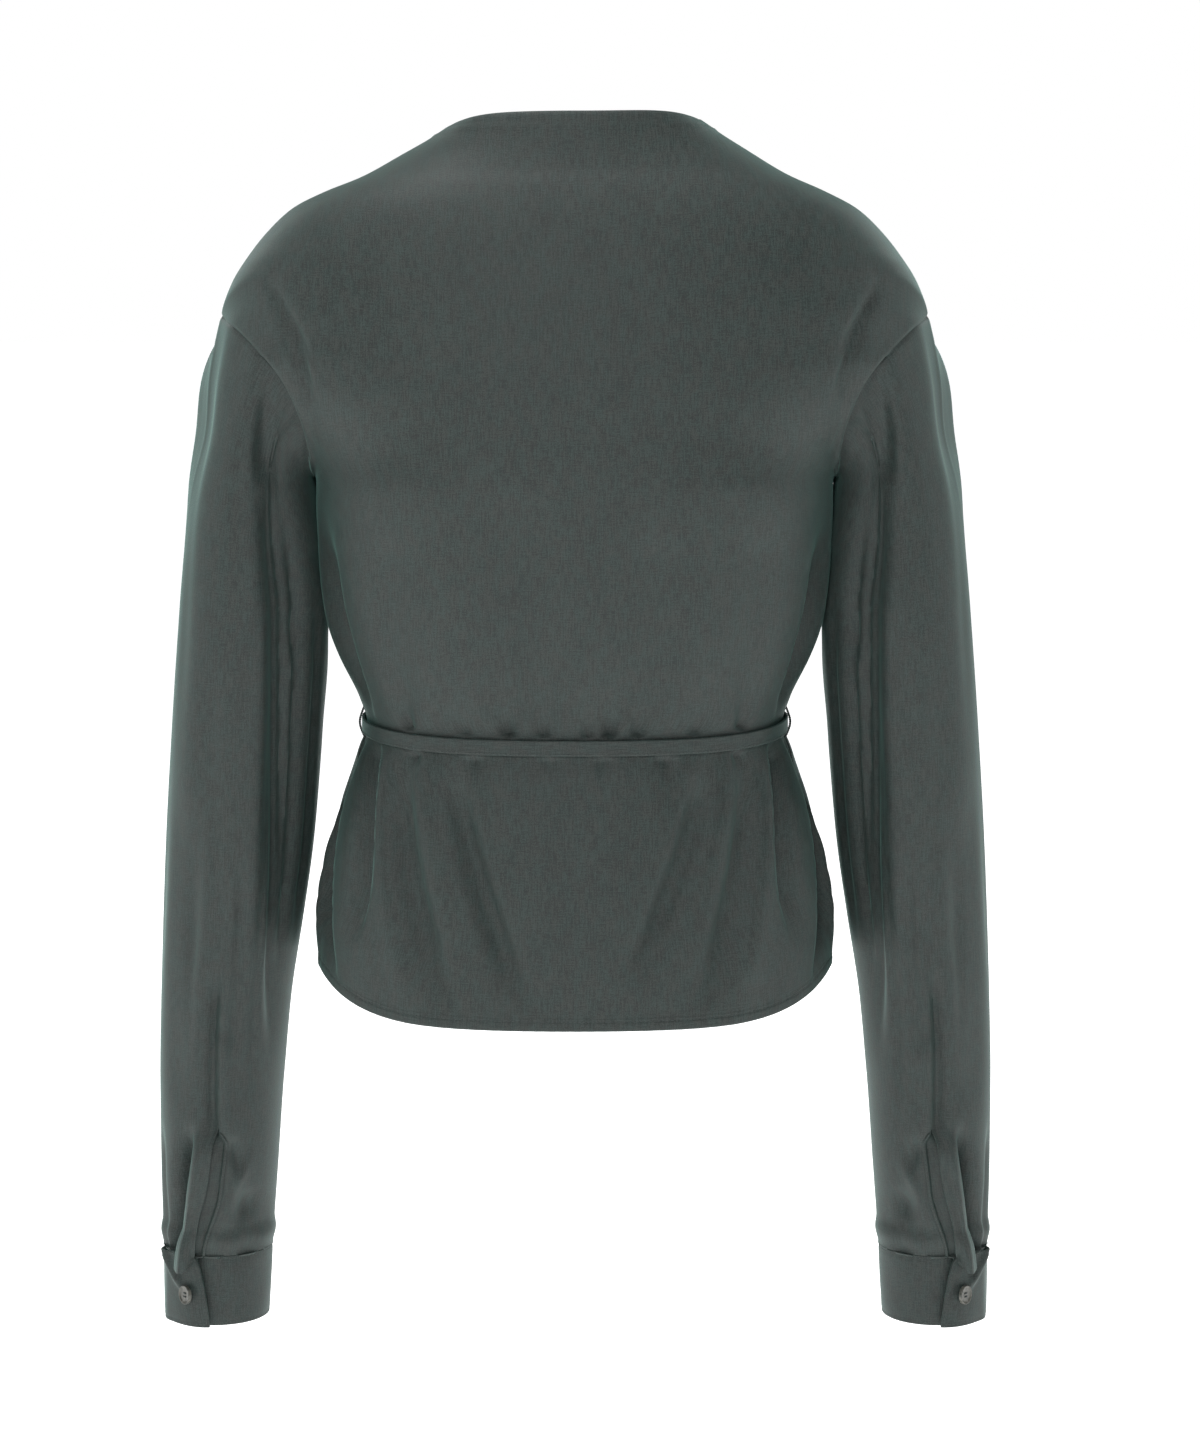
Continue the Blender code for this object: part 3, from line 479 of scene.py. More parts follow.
half_waist = 2 * float(lengths_along(base_row(WAIST_ROW, "back"))[-1])
print("half round the waist:", round(half_waist, 3), "m")

# %% [markdown]
# ## The folds of the body
#
# The tie draws the waist in, so fullness falls above and below it in folds. Each fold is a row
# of a table: it runs from a top to a foot, and may bow to one side on its way. Where one side
# is steeper than the other it reads as a pleat whose edge lies over the cloth beside it.

# %% The folds of the body
# place is the share of the way from the middle of a panel to its edge. half is 1 for the
# wearer's left, -1 for the right and 0 for both. steep sharpens the side towards the edge, or
# towards the middle where it is negative. A negative depth is a ridge. The last number, if
# there is one, is the share of its run in which a fold rises to its depth.
FOLD_COLUMNS = (
    "panel", "half", "place_top", "z_top", "place_low", "z_low", "bow", "depth", "width", "steep",
    "rise",
)
FOLDS = (
    ("back", 0, 0.69, -76, 0.84, -144, 0.0, 3.2, 5.5, -1.5, 0.65),  # it folds over the arm
    ("back", 0, 0.765, -108, 0.99, -182, 0.0, 4.0, 4.5, -1.6, 0.5),
    ("back", 0, 0.97, -176, 0.64, -250, 0.0, 3.5, 9, -2.2, 0.3),  # from the underarm
    ("back", 0, 0.835, -212, 0.79, -358, -0.038, 9.0, 11, -3.2, 0.45),  # from there down to the tie
    ("back", 0, 0.75, -362, 0.66, -486, -0.07, 8.0, 12, -4.5, 0.1),  # fullness under the tie
    ("back", 0, 0.90, -358, 0.725, -512, 0.045, 14.0, 14, -4.5, 0.12),
    ("back", 0, 0.97, -366, 0.90, -510, 0.0, -4.0, 4, 1.8),
    ("back", 0, 0.60, -362, 0.33, -520, 0.0, 8.0, 11, -1.5, 0.3),
    ("back", 0, 0.66, -366, 0.42, -540, 0.0, -2.5, 9, 1),
    ("back", 1, 0.41, -362, 0.11, -520, 0.0, 8.0, 10, -1.5, 0.3),
    ("back", -1, 0.45, -362, 0.14, -500, 0.0, 7.5, 10, -1.5, 0.3),
    ("back", 1, 0.17, -200, 0.12, -358, 0.0, 2.2, 18, 1),  # soft drags across the middle
    ("back", -1, 0.22, -230, 0.20, -358, 0.0, 2.4, 16, 1),
    ("back", 0, 0.52, -230, 0.56, -358, 0.0, 3.0, 14, 1),
    ("both", 0, 1.00, -212, 1.00, -306, 0.0, 5.0, 13, 1),  # the sleeve presses the side seam in
    ("back", 0, 0.905, -190, 0.90, -350, 0.0, -4.8, 10, 1),  # and the back stands out beside it
    ("both", 0, 1.00, -366, 1.00, -520, 0.0, 4.5, 10, 1),  # the side seam, between two pleats
    ("back", 0, 0.93, -380, 0.955, -500, 0.0, -2.0, 4.5, 1),
    ("front", 0, 0.84, -100, 0.93, -190, 0.0, 4.0, 13, 1),
    ("front", 0, 0.76, -226, 0.80, -356, 0.0, 6.5, 13, 1.4),
    ("front", 0, 0.50, -270, 0.55, -356, 0.0, 4.0, 14, 1),
    ("front", 0, 0.26, -296, 0.30, -356, 0.0, 3.0, 12, 1),
    ("front", 0, 0.82, -364, 0.87, -524, 0.0, 8.0, 12, -1.8),
    ("front", 0, 0.62, -364, 0.64, -500, 0.0, 6.0, 13, 1.6),
    ("front", 0, 0.40, -364, 0.43, -480, 0.0, 4.5, 14, -1.5),
    ("front", 1, 0.18, -364, 0.22, -470, 0.0, 3.4, 13, 1),
    ("front", -1, 0.17, -364, 0.18, -455, 0.0, 3.6, 13, 1),
)
# Short creases from the tie: up is 1 above it and -1 below it, and the sizes are millimetres
CREASE_COLUMNS = ("panel", "half", "place", "up", "depth", "width", "length")
CREASES = (
    ("back", 1, 0.10, 1, 4.2, 3.2, 22), ("back", 1, 0.215, 1, 5.4, 3.4, 28),
    ("back", 1, 0.36, 1, 3.2, 3.6, 20), ("back", 1, 0.575, 1, 5.0, 3.0, 30),
    ("back", -1, 0.045, 1, 3.8, 3.0, 20), ("back", -1, 0.115, 1, 5.4, 3.2, 31),
    ("back", -1, 0.21, 1, 4.6, 3.4, 25), ("back", -1, 0.40, 1, 3.2, 3.6, 20),
    ("back", -1, 0.58, 1, 5.0, 3.0, 28),
    ("back", 1, 0.545, -1, 5.4, 3.0, 18), ("back", -1, 0.56, -1, 5.0, 3.0, 18),
    ("back", 1, 0.33, -1, 3.0, 4.0, 20), ("back", -1, 0.30, -1, 3.2, 4.0, 22),
    ("back", 1, 0.08, -1, 2.2, 4.0, 14), ("back", -1, 0.10, -1, 2.4, 4.0, 15),
    ("front", 0, 0.07, 1, 2.6, 3.4, 20), ("front", 0, 0.17, 1, 3.0, 3.6, 26),
    ("front", 0, 0.36, 1, 3.0, 3.6, 28), ("front", 0, 0.66, 1, 2.6, 3.6, 22),
    ("front", 0, 0.06, -1, 2.4, 3.4, 20), ("front", 0, 0.28, -1, 3.0, 3.8, 26),
    ("front", 0, 0.52, -1, 2.8, 3.8, 26), ("front", 0, 0.72, -1, 2.4, 3.6, 20),
)
COWL_TOP = -125 * MM
COWL_SPACING = 39 * MM
COWL_DEPTH = 10 * MM
COWL_END = -236 * MM  # below this the front is smooth
COWL_SAG = 0.45  # a ridge hangs down by this share of how far it stands out
TIE_REACH = 5.2 * MM  # the tie presses the cloth flat this far above and below the waist
CREASE_RISES = 2.5 * MM  # from the tie's reach to a crease's full depth
CREASE_SPREADS = 12 * MM  # and to twice its width


def sharpen(off, steep):
    """Distances across a fold, stretched on its steep side."""
    if steep > 1:
        return np.where(off > 0, off * steep, off)
    if steep < -1:
        return np.where(off < 0, -off * steep, off)
    return off


def fold_depth(fold, half, share, z, length):
    """How deep one fold is at points of a row, in metres."""
    if fold["half"] and fold["half"] != half:
        return np.zeros_like(z)
    run = (z / MM - fold["z_top"]) / (fold["z_low"] - fold["z_top"])
    middle = fold["place_top"] + (fold["place_low"] - fold["place_top"]) * run
    middle = middle + fold["bow"] * 4.0 * run * (1.0 - run)
    off = sharpen((share - middle) * length / (fold["width"] * MM), fold["steep"])
    fades = smoothstep(run / fold.get("rise", 0.2)) * smoothstep((1.0 - run) / 0.35)
    return fold["depth"] * MM * fades * np.exp(-off * off)


def crease_depth(crease, half, share, z, waist_z, length):
    """A short crease from the tie, upwards or downwards."""
    if crease["half"] and crease["half"] != half:
        return np.zeros_like(z)
    away = (z - waist_z) * crease["up"] - TIE_REACH
    beyond = np.maximum(away, 0)
    width = crease["width"] * MM * (1.0 + beyond / CREASE_SPREADS)
    off = (share - crease["place"]) * length / width
    fades = smoothstep(away / CREASE_RISES) * np.exp(-beyond / (crease["length"] * MM * 0.6))
    return crease["depth"] * MM * fades * np.exp(-off * off)


def cowl_height(place, share):
    """How far the cowl's hanging folds stand out, in metres."""
    level = named_row(place)["front_z"] * MM
    fades = smoothstep((level - COWL_END) / (COWL_SPACING * 1.3))
    wave = math.cos(2 * math.pi * (COWL_TOP - level) / COWL_SPACING)
    return COWL_DEPTH * fades * (wave - 0.25) * (1.0 - share**1.6)


def folded_row(place, panel, half):
    """A row from the middle to the edge of one half, with its folds, and its normals."""
    points, outward = base_row(place, panel), row_normals(place, panel)
    along = lengths_along(points)
    share, length = along / along[-1], along[-1]
    depth = np.zeros(len(points))
    for values in FOLDS:
        fold = dict(zip(FOLD_COLUMNS, values))
        if fold["panel"] in (panel, "both"):
            depth = depth + fold_depth(fold, half, share, points[:, 2], length)
    if abs(place - WAIST_ROW) < 4:
        waist_z = np.interp(share, WAIST_SHARE[panel], WAIST_LEVEL[panel])
        for values in CREASES:
            crease = dict(zip(CREASE_COLUMNS, values))
            if crease["panel"] == panel:
                depth = depth + crease_depth(crease, half, share, points[:, 2], waist_z, length)
    moved = points - outward * depth[:, None]
    if panel == "front":
        height = cowl_height(place, share)
        moved = moved + outward * height[:, None]
        moved[:, 2] -= COWL_SAG * np.maximum(height, 0.0)
    near_neck = smoothstep((place - (NECK_ROW - 5)) / 5.0)
    moved[:, 2] -= half * NECK_TILT / 2 * near_neck * np.sin(math.pi / 2 * share) ** 2
    return moved * (half, 1, 1), outward * (half, 1, 1)


WAIST_SHARE, WAIST_LEVEL = {}, {}
for panel_name in ("back", "front"):
    waist_line = base_row(WAIST_ROW, panel_name)
    waist_along = lengths_along(waist_line)
    WAIST_SHARE[panel_name] = waist_along / waist_along[-1]
    WAIST_LEVEL[panel_name] = waist_line[:, 2]
print(len(FOLDS), "folds and", len(CREASES), "creases at the tie")

# %% [markdown]
# ## From rows of points to a sheet of cloth
#
# A sheet is a grid of points. Its texture map holds the flat coordinates of the cut piece, in
# metres. Solidify then gives the wall its thickness, inwards, so the outside stays where it is.

# %% Sheets of cloth
CLOTH_WALL = 0.8 * MM
SIDES = ((1, "left"), (-1, "right"))  # the wearer's sides, with the sign of their x


def only(thing):
    """Select one object alone and make it the active one."""
    bpy.ops.object.select_all(action="DESELECT")
    thing.select_set(True)
    bpy.context.view_layer.objects.active = thing


def apply_modifiers(piece):
    only(piece)
    for modifier in list(piece.modifiers):
        bpy.ops.object.modifier_apply(modifier=modifier.name)


def new_piece(name, points, faces, finish):
    """An object with a new mesh, in the scene."""
    mesh = bpy.data.meshes.new(name)
    mesh.from_pydata(np.asarray(points, float).reshape(-1, 3).tolist(), [], faces)
    mesh.materials.append(finish)
    piece = bpy.data.objects.new(name, mesh)
    bpy.context.scene.collection.objects.link(piece)
    return piece


def lay_flat(piece, flat):
    """Each point's place on the flat cut cloth goes into the texture map."""
    mesh = piece.data
    layer = mesh.uv_layers[0] if mesh.uv_layers else mesh.uv_layers.new(name="Cloth")
    layer.name = "Cloth"
    corner = np.empty(len(mesh.loops), int)
    mesh.loops.foreach_get("vertex_index", corner)
    layer.data.foreach_set("uv", flat[corner].ravel())


def grid_faces(rows, columns):
    index = np.arange(rows * columns).reshape(rows, columns)
    corners = (index[:-1, :-1], index[:-1, 1:], index[1:, 1:], index[1:, :-1])
    return np.stack(corners, axis=-1).reshape(-1, 4).tolist()


def cloth_sheet(name, grid, across, along, finish, wall=CLOTH_WALL, edge_round=0.0):
    """A sheet through a grid whose faces point out, with flat coordinates for each point."""
    piece = new_piece(name, grid, grid_faces(*grid.shape[:2]), finish)
    lay_flat(piece, np.stack([across, along], axis=-1).reshape(-1, 2))
    weld = piece.modifiers.new("Weld", "WELD")
    weld.merge_threshold = 0.03 * MM
    thick = piece.modifiers.new("Wall", "SOLIDIFY")
    thick.thickness = wall
    thick.offset = -1.0
    if edge_round:
        bevel = piece.modifiers.new("Rim", "BEVEL")
        bevel.width = edge_round
        bevel.segments = 2
        bevel.angle_limit = math.radians(60)
    apply_modifiers(piece)
    piece.data.shade_smooth()
    bpy.ops.object.shade_smooth_by_angle(angle=math.radians(50))
    return piece


def ride_as(piece, node_name):
    """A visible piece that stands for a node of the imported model."""
    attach(piece, "root")
    if node_name:
        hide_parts(node_name)


def sheet_pair(kind, grid, across, along, **settings):
    """The sheets of both sides, from the grid of the wearer's left one."""
    pair = {}
    for half, side_name in SIDES:
        turned = (slice(None, None, -1), slice(None, None, half))
        pair[side_name] = cloth_sheet(
            f"{kind}_{side_name}_cloth", (grid * (half, 1, 1))[turned],
            across[turned] * half, along[turned], CLOTH_FINISH, **settings,
        )
        ride_as(pair[side_name], f"{kind}_{side_name}")
    return pair


print("cloth wall:", CLOTH_WALL / MM, "mm")

# %% [markdown]
# ## Stitches
#
# Every stitch is a short loop of thread that lies on the cloth and dives into it at both ends.
# One small stitch is drawn once as a tube of four rings, and is copied along a line at an even
# pitch. A line is given with the outward direction at each of its points.

# %% Stitches
STITCH_PITCH = 2.6 * MM
STITCH_LENGTH = 1.9 * MM
STITCH_RADIUS = 0.17 * MM
# The rings of a stitch: where along it, how high and how thick, for a radius of one
STITCH_RINGS = ((-0.5, -0.9, 0.6), (-0.34, 0.35, 1.0), (0.34, 0.35, 1.0), (0.5, -0.9, 0.6))
RING_SIDES = 6


def grid_normals(grid, flip=1.0):
    return unit(np.cross(np.gradient(grid, axis=1), np.gradient(grid, axis=0))) * flip


def inset_line(grid, normals, distance):
    """The points of a grid at a distance from its first row, with their normals."""
    down = lengths_down(grid)
    points, outward = [], []
    for c in range(grid.shape[1]):
        points.append([np.interp(distance, down[:, c], grid[:, c, a]) for a in range(3)])
        outward.append([np.interp(distance, down[:, c], normals[:, c, a]) for a in range(3)])
    return np.array(points), unit(np.array(outward))


def tube_faces(rings, sides):
    """The faces of a tube of rings, closed at both ends."""
    faces = []
    for r in range(rings - 1):
        for k in range(sides):
            n = (k + 1) % sides
            faces.append((r * sides + k, r * sides + n, (r + 1) * sides + n, (r + 1) * sides + k))
    faces.append(tuple(range(sides - 1, -1, -1)))
    faces.append(tuple((rings - 1) * sides + k for k in range(sides)))
    return faces


def turn_faces_out(piece):
    """Make every face of a closed shell point out."""
    only(piece)
    bpy.ops.object.mode_set(mode="EDIT")
    bpy.ops.mesh.select_all(action="SELECT")
    bpy.ops.mesh.normals_make_consistent(inside=False)
    bpy.ops.object.mode_set(mode="OBJECT")


def stitch_run(name, path, outward, radius=STITCH_RADIUS):
    """A run of stitches along a line, as one mesh."""
    total = lengths_along(path)[-1]
    middles = np.arange(STITCH_PITCH / 2, total - STITCH_LENGTH / 2, STITCH_PITCH)
    centres = walk(path, middles)
    ahead = unit(
        walk(path, middles + STITCH_PITCH / 4) - walk(path, middles - STITCH_PITCH / 4)
    )
    up = unit(walk_values(path, outward, middles))
    side = unit(np.cross(ahead, up))
    points = []
    for place, height, thick in STITCH_RINGS:
        for k in range(RING_SIDES):
            a = 2 * math.pi * k / RING_SIDES
            lift = radius * (height + thick * math.sin(a))
            points.append(
                centres + ahead * STITCH_LENGTH * place + up * lift
                + side * radius * thick * math.cos(a)
            )
    one_stitch = tube_faces(len(STITCH_RINGS), RING_SIDES)
    faces = [
        tuple(i + len(points) * n for i in face)
        for n in range(len(middles)) for face in one_stitch
    ]
    piece = new_piece(name, np.stack(points, axis=1), faces, THREAD_FINISH)
    turn_faces_out(piece)
    piece.data.shade_smooth()
    ride_as(piece, None)


def thread_tube(name, points, radius, sides=8):
    """A thread: a tube along a line, closed at both ends."""
    ahead = unit(np.gradient(points, axis=0))
    side = unit(np.cross(ahead, (0.31, 0.52, 0.79)))
    up = np.cross(ahead, side)
    rings = np.array([
        points + radius * (side * math.cos(a) + up * math.sin(a))
        for a in np.linspace(0, 2 * math.pi, sides + 1)[:-1]
    ]).transpose(1, 0, 2)
    thread = new_piece(name, rings, tube_faces(len(points), sides), THREAD_FINISH)
    thread.data.shade_smooth()
    turn_faces_out(thread)
    return thread


def join_as(name, pieces):
    """Several objects made one."""
    only(pieces[0])
    for piece in pieces:
        piece.select_set(True)
    bpy.ops.object.join()
    pieces[0].name = name
    return pieces[0]


print("a stitch every", STITCH_PITCH / MM, "mm")

# %% [markdown]
# ## The back
#
# The back is one piece from its straight neck edge to the flared hem. Its rows lie closer
# together near the tie, where the creases are short. At the hem and at the neck the cloth is
# turned in: more rows go round the edge and up inside. Along its seams the cloth dips in.

# %% The back
HALF_COLUMNS = 84
SEAM_DIP = 0.9 * MM
SEAM_DIP_WIDTH = 1.6 * MM
TURN_RADIUS = 0.9 * MM
HEM_DEPTH = 6.0 * MM
HEM_BAND = 0.36  # the rows of the table that the hem takes up
HEM_STITCH = 5.0 * MM
HEM_PUCKER = 9.0 * MM  # from one pucker of the hem to the next
NECK_FACING = 9.0 * MM


def body_places():
    """The rows of both panels, from the hem to the neck."""
    return np.concatenate([
        np.linspace(0.0, HEM_BAND, 14),
        np.linspace(HEM_BAND, WAIST_ROW - 0.9, 58)[1:],
        np.linspace(WAIST_ROW - 0.9, WAIST_ROW + 1.2, 34)[1:],
        np.linspace(WAIST_ROW + 1.2, UNDERARM_ROW, 48)[1:],
        np.linspace(UNDERARM_ROW, SHOULDER_TIP_ROW, 48)[1:],
        np.linspace(SHOULDER_TIP_ROW, NECK_ROW, 50)[1:],
    ])


def panel_row(place, panel):
    """A row from the wearer's right edge to the left one, with how far each point is from the
    middle along the cloth. It dips in along both seams."""
    parts = []
    for half in (-1, 1):
        points, outward = folded_row(place, panel, half)
        length = lengths_along(points)[-1]
        wanted = np.linspace(0.0, 1.0, HALF_COLUMNS + 1)
        wanted = (wanted - 0.08 * np.sin(2 * math.pi * wanted) / math.pi) * length
        wanted[-1] = length - 0.05 * MM
        from_edge = length - wanted
        dip = SEAM_DIP * np.exp(-((from_edge / SEAM_DIP_WIDTH) ** 2))
        part = walk(points, wanted) - walk_values(points, outward, wanted) * dip[:, None]
        parts.append((part, wanted * half))
    (right, right_flat), (left, left_flat) = parts
    return np.concatenate([right[:0:-1], left]), np.concatenate([right_flat[:0:-1], left_flat])


def turned_edge(edge, inner, radius, depth, steps):
    """Rows that carry on past an edge: round it and then back along the cloth inside. inner is
    the row next to the edge."""
    on = unit(edge - inner)
    along = np.gradient(edge, axis=0)
    inwards = unit(np.cross(on, along))
    middle = edge.mean(axis=0)
    if np.sum((middle - edge) * inwards) < 0:
        inwards = -inwards
    rows = []
    for degrees in (45, 90, 135, 180):
        a = math.radians(degrees)
        rows.append(edge + radius * (math.sin(a) * on + (1 - math.cos(a)) * inwards))
    for share in np.linspace(0.0, 1.0, steps + 1)[1:]:
        rows.append(rows[3] - on * depth * share)
    return rows


def relax(grid, weight, rounds):
    """Evens out a grid, each point by its weight, as cloth evens out where it is free."""
    for _ in range(rounds):
        mean = grid.copy()
        mean[1:-1, 1:-1] = (
            grid[:-2, 1:-1] + grid[2:, 1:-1] + grid[1:-1, :-2] + grid[1:-1, 2:]
        ) / 4
        grid = grid + (mean - grid) * weight[..., None]
    return grid


def build_panel(panel):
    """A panel's grid. Its rows change fast beside the underarm, so there it is evened out."""
    places = body_places()
    rows, flats = zip(*(panel_row(place, panel) for place in places))
    grid, flats = np.array(rows), np.array(flats)
    beside = np.exp(-(((places - UNDERARM_ROW - 0.7) / 1.5) ** 2))
    across = np.abs(np.linspace(-1.0, 1.0, grid.shape[1]))
    share = smoothstep((across - 0.45) / 0.2) * smoothstep((0.985 - across) / 0.03)
    grid = relax(grid, beside[:, None] * share[None], 60)
    flip = 1.0 if panel == "front" else -1.0
    if panel == "back":
        grid = facing_ridge(grid, grid_normals(grid, flip))
    return press_stitch_line(grid, grid_normals(grid, flip), flats), flats


def facing_ridge(grid, normals):
    """The edge of the neck's facing shows through as a low ridge below the neck."""
    down = lengths_down(grid[::-1])[::-1]
    ridge = 0.45 * MM * np.exp(-(((down - NECK_FACING) / (1.3 * MM)) ** 2))
    rolled = 0.5 * MM * np.exp(-(down / (1.2 * MM)) ** 2)
    return grid + normals * (ridge - rolled)[..., None]


def press_stitch_line(grid, normals, flats):
    """The hem stands out a little, is pressed in along its stitches and puckers beside them."""
    up = lengths_down(grid)
    doubled = 0.45 * MM * smoothstep((HEM_DEPTH + 0.8 * MM - up) / (1.2 * MM))
    pressed = 0.5 * MM * np.exp(-(((up - HEM_STITCH) / (0.8 * MM)) ** 2))
    near = np.exp(-(((up - HEM_STITCH) / (4.0 * MM)) ** 2))
    pucker = 0.22 * MM * near * np.sin(2 * math.pi * flats / HEM_PUCKER + 3 * np.sin(flats * 40))
    edge = smoothstep(np.minimum(np.arange(grid.shape[1]), np.arange(grid.shape[1])[::-1]) / 3.0)
    return grid + normals * ((doubled - pressed + pucker) * edge)[..., None]


def flat_levels(grid):
    """How far each row is along the cloth, measured down the middle."""
    return lengths_along(grid[:, grid.shape[1] // 2])


back_grid, back_flat = build_panel("back")
back_levels = flat_levels(back_grid)
hem_rows = turned_edge(back_grid[0], back_grid[3], TURN_RADIUS, HEM_DEPTH, 4)[::-1]
neck_rows = turned_edge(back_grid[-1], back_grid[-4], TURN_RADIUS, NECK_FACING, 6)
full_back = np.concatenate([hem_rows, back_grid, neck_rows])
full_flat = np.concatenate([
    np.repeat(back_flat[:1], len(hem_rows), axis=0), back_flat,
    np.repeat(back_flat[-1:], len(neck_rows), axis=0),
])
hem_levels = -lengths_along(full_back[: len(hem_rows) + 1, HALF_COLUMNS])[::-1][:-1]
neck_levels = back_levels[-1] + lengths_along(full_back[-len(neck_rows) - 1:, HALF_COLUMNS])[1:]
full_levels = np.concatenate([hem_levels, back_levels, neck_levels])
back = cloth_sheet(
    "back_cloth", full_back[:, ::-1], full_flat[:, ::-1],
    np.repeat(full_levels[:, None], full_flat.shape[1], axis=1), CLOTH_FINISH,
)
ride_as(back, "back")
back_normals = grid_normals(back_grid, -1.0)
stitch_run("hem_stitches_back", *inset_line(back_grid, back_normals, HEM_STITCH))

# %% [markdown]
# ## The front and its cowl
#
# The front is cut longer than the body it covers, so at the neck it falls in the hanging folds
# of a cowl. Its top edge rolls in, and a facing hangs behind it.

# %% The front and its cowl
FACING_ROLL = 2.6 * MM
FACING_DEPTH_ROWS = 3.2


def facing_rows():
    """The cowl's edge rolled inwards, and the facing that hangs behind it."""
    edge = panel_row(NECK_ROW, "front")[0]
    below = panel_row(NECK_ROW - 0.6, "front")[0]
    up = unit(edge - below)
    along = np.gradient(edge, axis=0)
    outward = unit(np.cross(along, up))
    rows = []
    for degrees in range(20, 181, 20):
        a = math.radians(degrees)
        rows.append(edge + FACING_ROLL * (math.sin(a) * up - (1 - math.cos(a)) * outward))
    for share in np.linspace(0.0, 1.0, 17)[1:]:
        place = NECK_ROW - share * FACING_DEPTH_ROWS
        rows.append(panel_row(place, "front")[0] - 2 * FACING_ROLL * outward)
    return np.array(rows)


front_grid, front_flat = build_panel("front")
front_facing = facing_rows()
hem_rows = turned_edge(front_grid[0], front_grid[3], TURN_RADIUS, HEM_DEPTH, 4)[::-1]
full_front = np.concatenate([hem_rows, front_grid, front_facing])
full_flat = np.concatenate([
    np.repeat(front_flat[:1], len(hem_rows), axis=0), front_flat,
    np.repeat(front_flat[-1:], len(front_facing), axis=0),
])
front_levels = flat_levels(full_front)
front = cloth_sheet(
    "front_cloth", full_front, full_flat,
    np.repeat(front_levels[:, None], full_flat.shape[1], axis=1), CLOTH_FINISH,
)
ride_as(front, "front")
front_normals = grid_normals(front_grid)
stitch_run("hem_stitches_front", *inset_line(front_grid, front_normals, HEM_STITCH))

# %% [markdown]
# ## The sleeves
#
# Each sleeve is one long piece, closed under the arm. It leaves the armhole square to the seam
# and then hangs straight to the cuff, with long soft folds. Above the cuff it is slit, and the
# cloth beside the slit is tucked.

# %% The sleeves
# A row: its level, its inner and outer side, and its middle and half depth from back to front
SLEEVE_ROWS = (
    (-290, 145.5, 237.0, -8, 57),
    (-333, 149.0, 240.5, -9, 56),
    (-380, 153.0, 244.0, -11, 54.5),
    (-430, 157.5, 247.5, -13, 52.5),
    (-480, 164.5, 250.2, -15, 50),
    (-530, 172.5, 252.2, -17, 47.5),
    (-580, 178.0, 253.3, -19, 45),
    (-630, 181.8, 253.4, -20, 42.5),
    (-664, 184.5, 253.0, -21, 40),
    (-682.7, 185.8, 252.7, -21, 37.5),
)
SLEEVE_TWIST = 6.0  # degrees between the sleeve's columns and the armhole's
SLEEVE_HANG = 0.3  # how much its own weight turns it down at the seam
UNDERARM_FROM = 0.24  # how far round the armhole the underarm's turn begins
UNDERARM_LEAVE = (0.75, 0.0, -0.66)  # the way the sleeve's cloth leaves the underarm
OPENING_TURN = 81.0  # degrees from the outer side, round the back, to the sleeve's opening
SLIT_LENGTH = 82 * MM
CUFF_TOP = -683 * MM
SLEEVE_FOLD_COLUMNS = ("turn_top", "z_top", "turn_low", "z_low", "depth", "width", "steep")
SLEEVE_FOLDS = (
    (70, -112, 101, -218, 6.5, 16, -3.0),  # it starts under the armhole's seam
    (97, -158, 146, -570, 10.0, 24, -3.4),
    (116, -150, 140, -330, 4.0, 15, -1.8),
    (108, -180, 142, -460, 2.6, 4.5, -2.0),
    (130, -220, 154, -520, 3.0, 4.5, -2.0),
    (152, -260, 168, -500, 2.4, 4.5, -2.0),
    (112, -330, 124, -600, 2.2, 4.5, 2.0),
    (98, -420, 104, -610, 2.0, 6, -2.0),
    (88, -440, 80, -620, 2.4, 9, 1.6),
    (66, -300, 58, -520, 2.0, 8, 1),
    (258, -200, 250, -480, 5.5, 15, 1),
    (40, -380, 52, -610, 3.0, 14, 1),
    (66, -596, 30, -722, 12.0, 7, 1.6),  # the valley of the tuck beside the opening
    (80, -600, 58, -722, -3.2, 6.5, 2.0),  # its crest
    (20, -600, 22, -722, 2.6, 6, 1.4),
    (84, -500, 90, -622, 4.0, 6, 2.0),  # a crease that runs up from the opening
    (98, -540, 104, -616, -2.4, 7, 1),
    (130, -640, 128, -690, 2.2, 12, 1),
    (262, -600, 268, -690, 3.0, 12, 1),
    (310, -610, 312, -690, 3.0, 12, 1),
)
# Dents: turn, level, depth, size across and along in millimetres, and slant in degrees
SLEEVE_DENTS = (
    (118, -180, 4.6, 17, 30, 10), (146, -200, 3.4, 11, 22, 0), (2, -184, 4.0, 26, 25, 0),
    (106, -617, 3.6, 6, 12, 28), (124, -652, 3.6, 10, 8, 55), (104, -668, 1.6, 8, 7, 10),
    (114, -634, -2.4, 12, 4.5, 60), (88, -590, 1.4, 6, 16, 0), (35, -655, 2.0, 6, 16, -12),
    (150, -660, 1.6, 9, 12, 30), (250, -650, 2.2, 10, 14, -20), (300, -640, 2.0, 9, 14, 15),
    (215, -662, 1.8, 9, 10, 0), (340, -655, 1.8, 8, 13, 8), (190, -300, 2.0, 12, 22, 20),
    (170, -262, 2.4, 10, 12, 40), (205, -345, 1.6, 10, 20, -25), (75, -420, 1.4, 5, 55, 4),
    (58, -500, 1.5, 5, 60, 3), (92, -330, 1.6, 4, 60, -5), (122, -410, 1.6, 6, 60, 4),
    (98, -470, 1.2, 4, 50, 6), (30, -300, 1.0, 6, 60, 2), (12, -470, 1.2, 6, 60, -2),
)
SLIT_RISE = 2.6 * MM  # the opening's free edge stands out
FREE_SWING = 5.8 * MM
BOUND_SWING = 5.2 * MM
TUCK_HANGS = 9.0 * MM  # the tucked cloth hangs this far over the cuff
TUCK_STANDS = 6.2 * MM
OPENING_LEAN = 12.0  # degrees further round at the opening's top
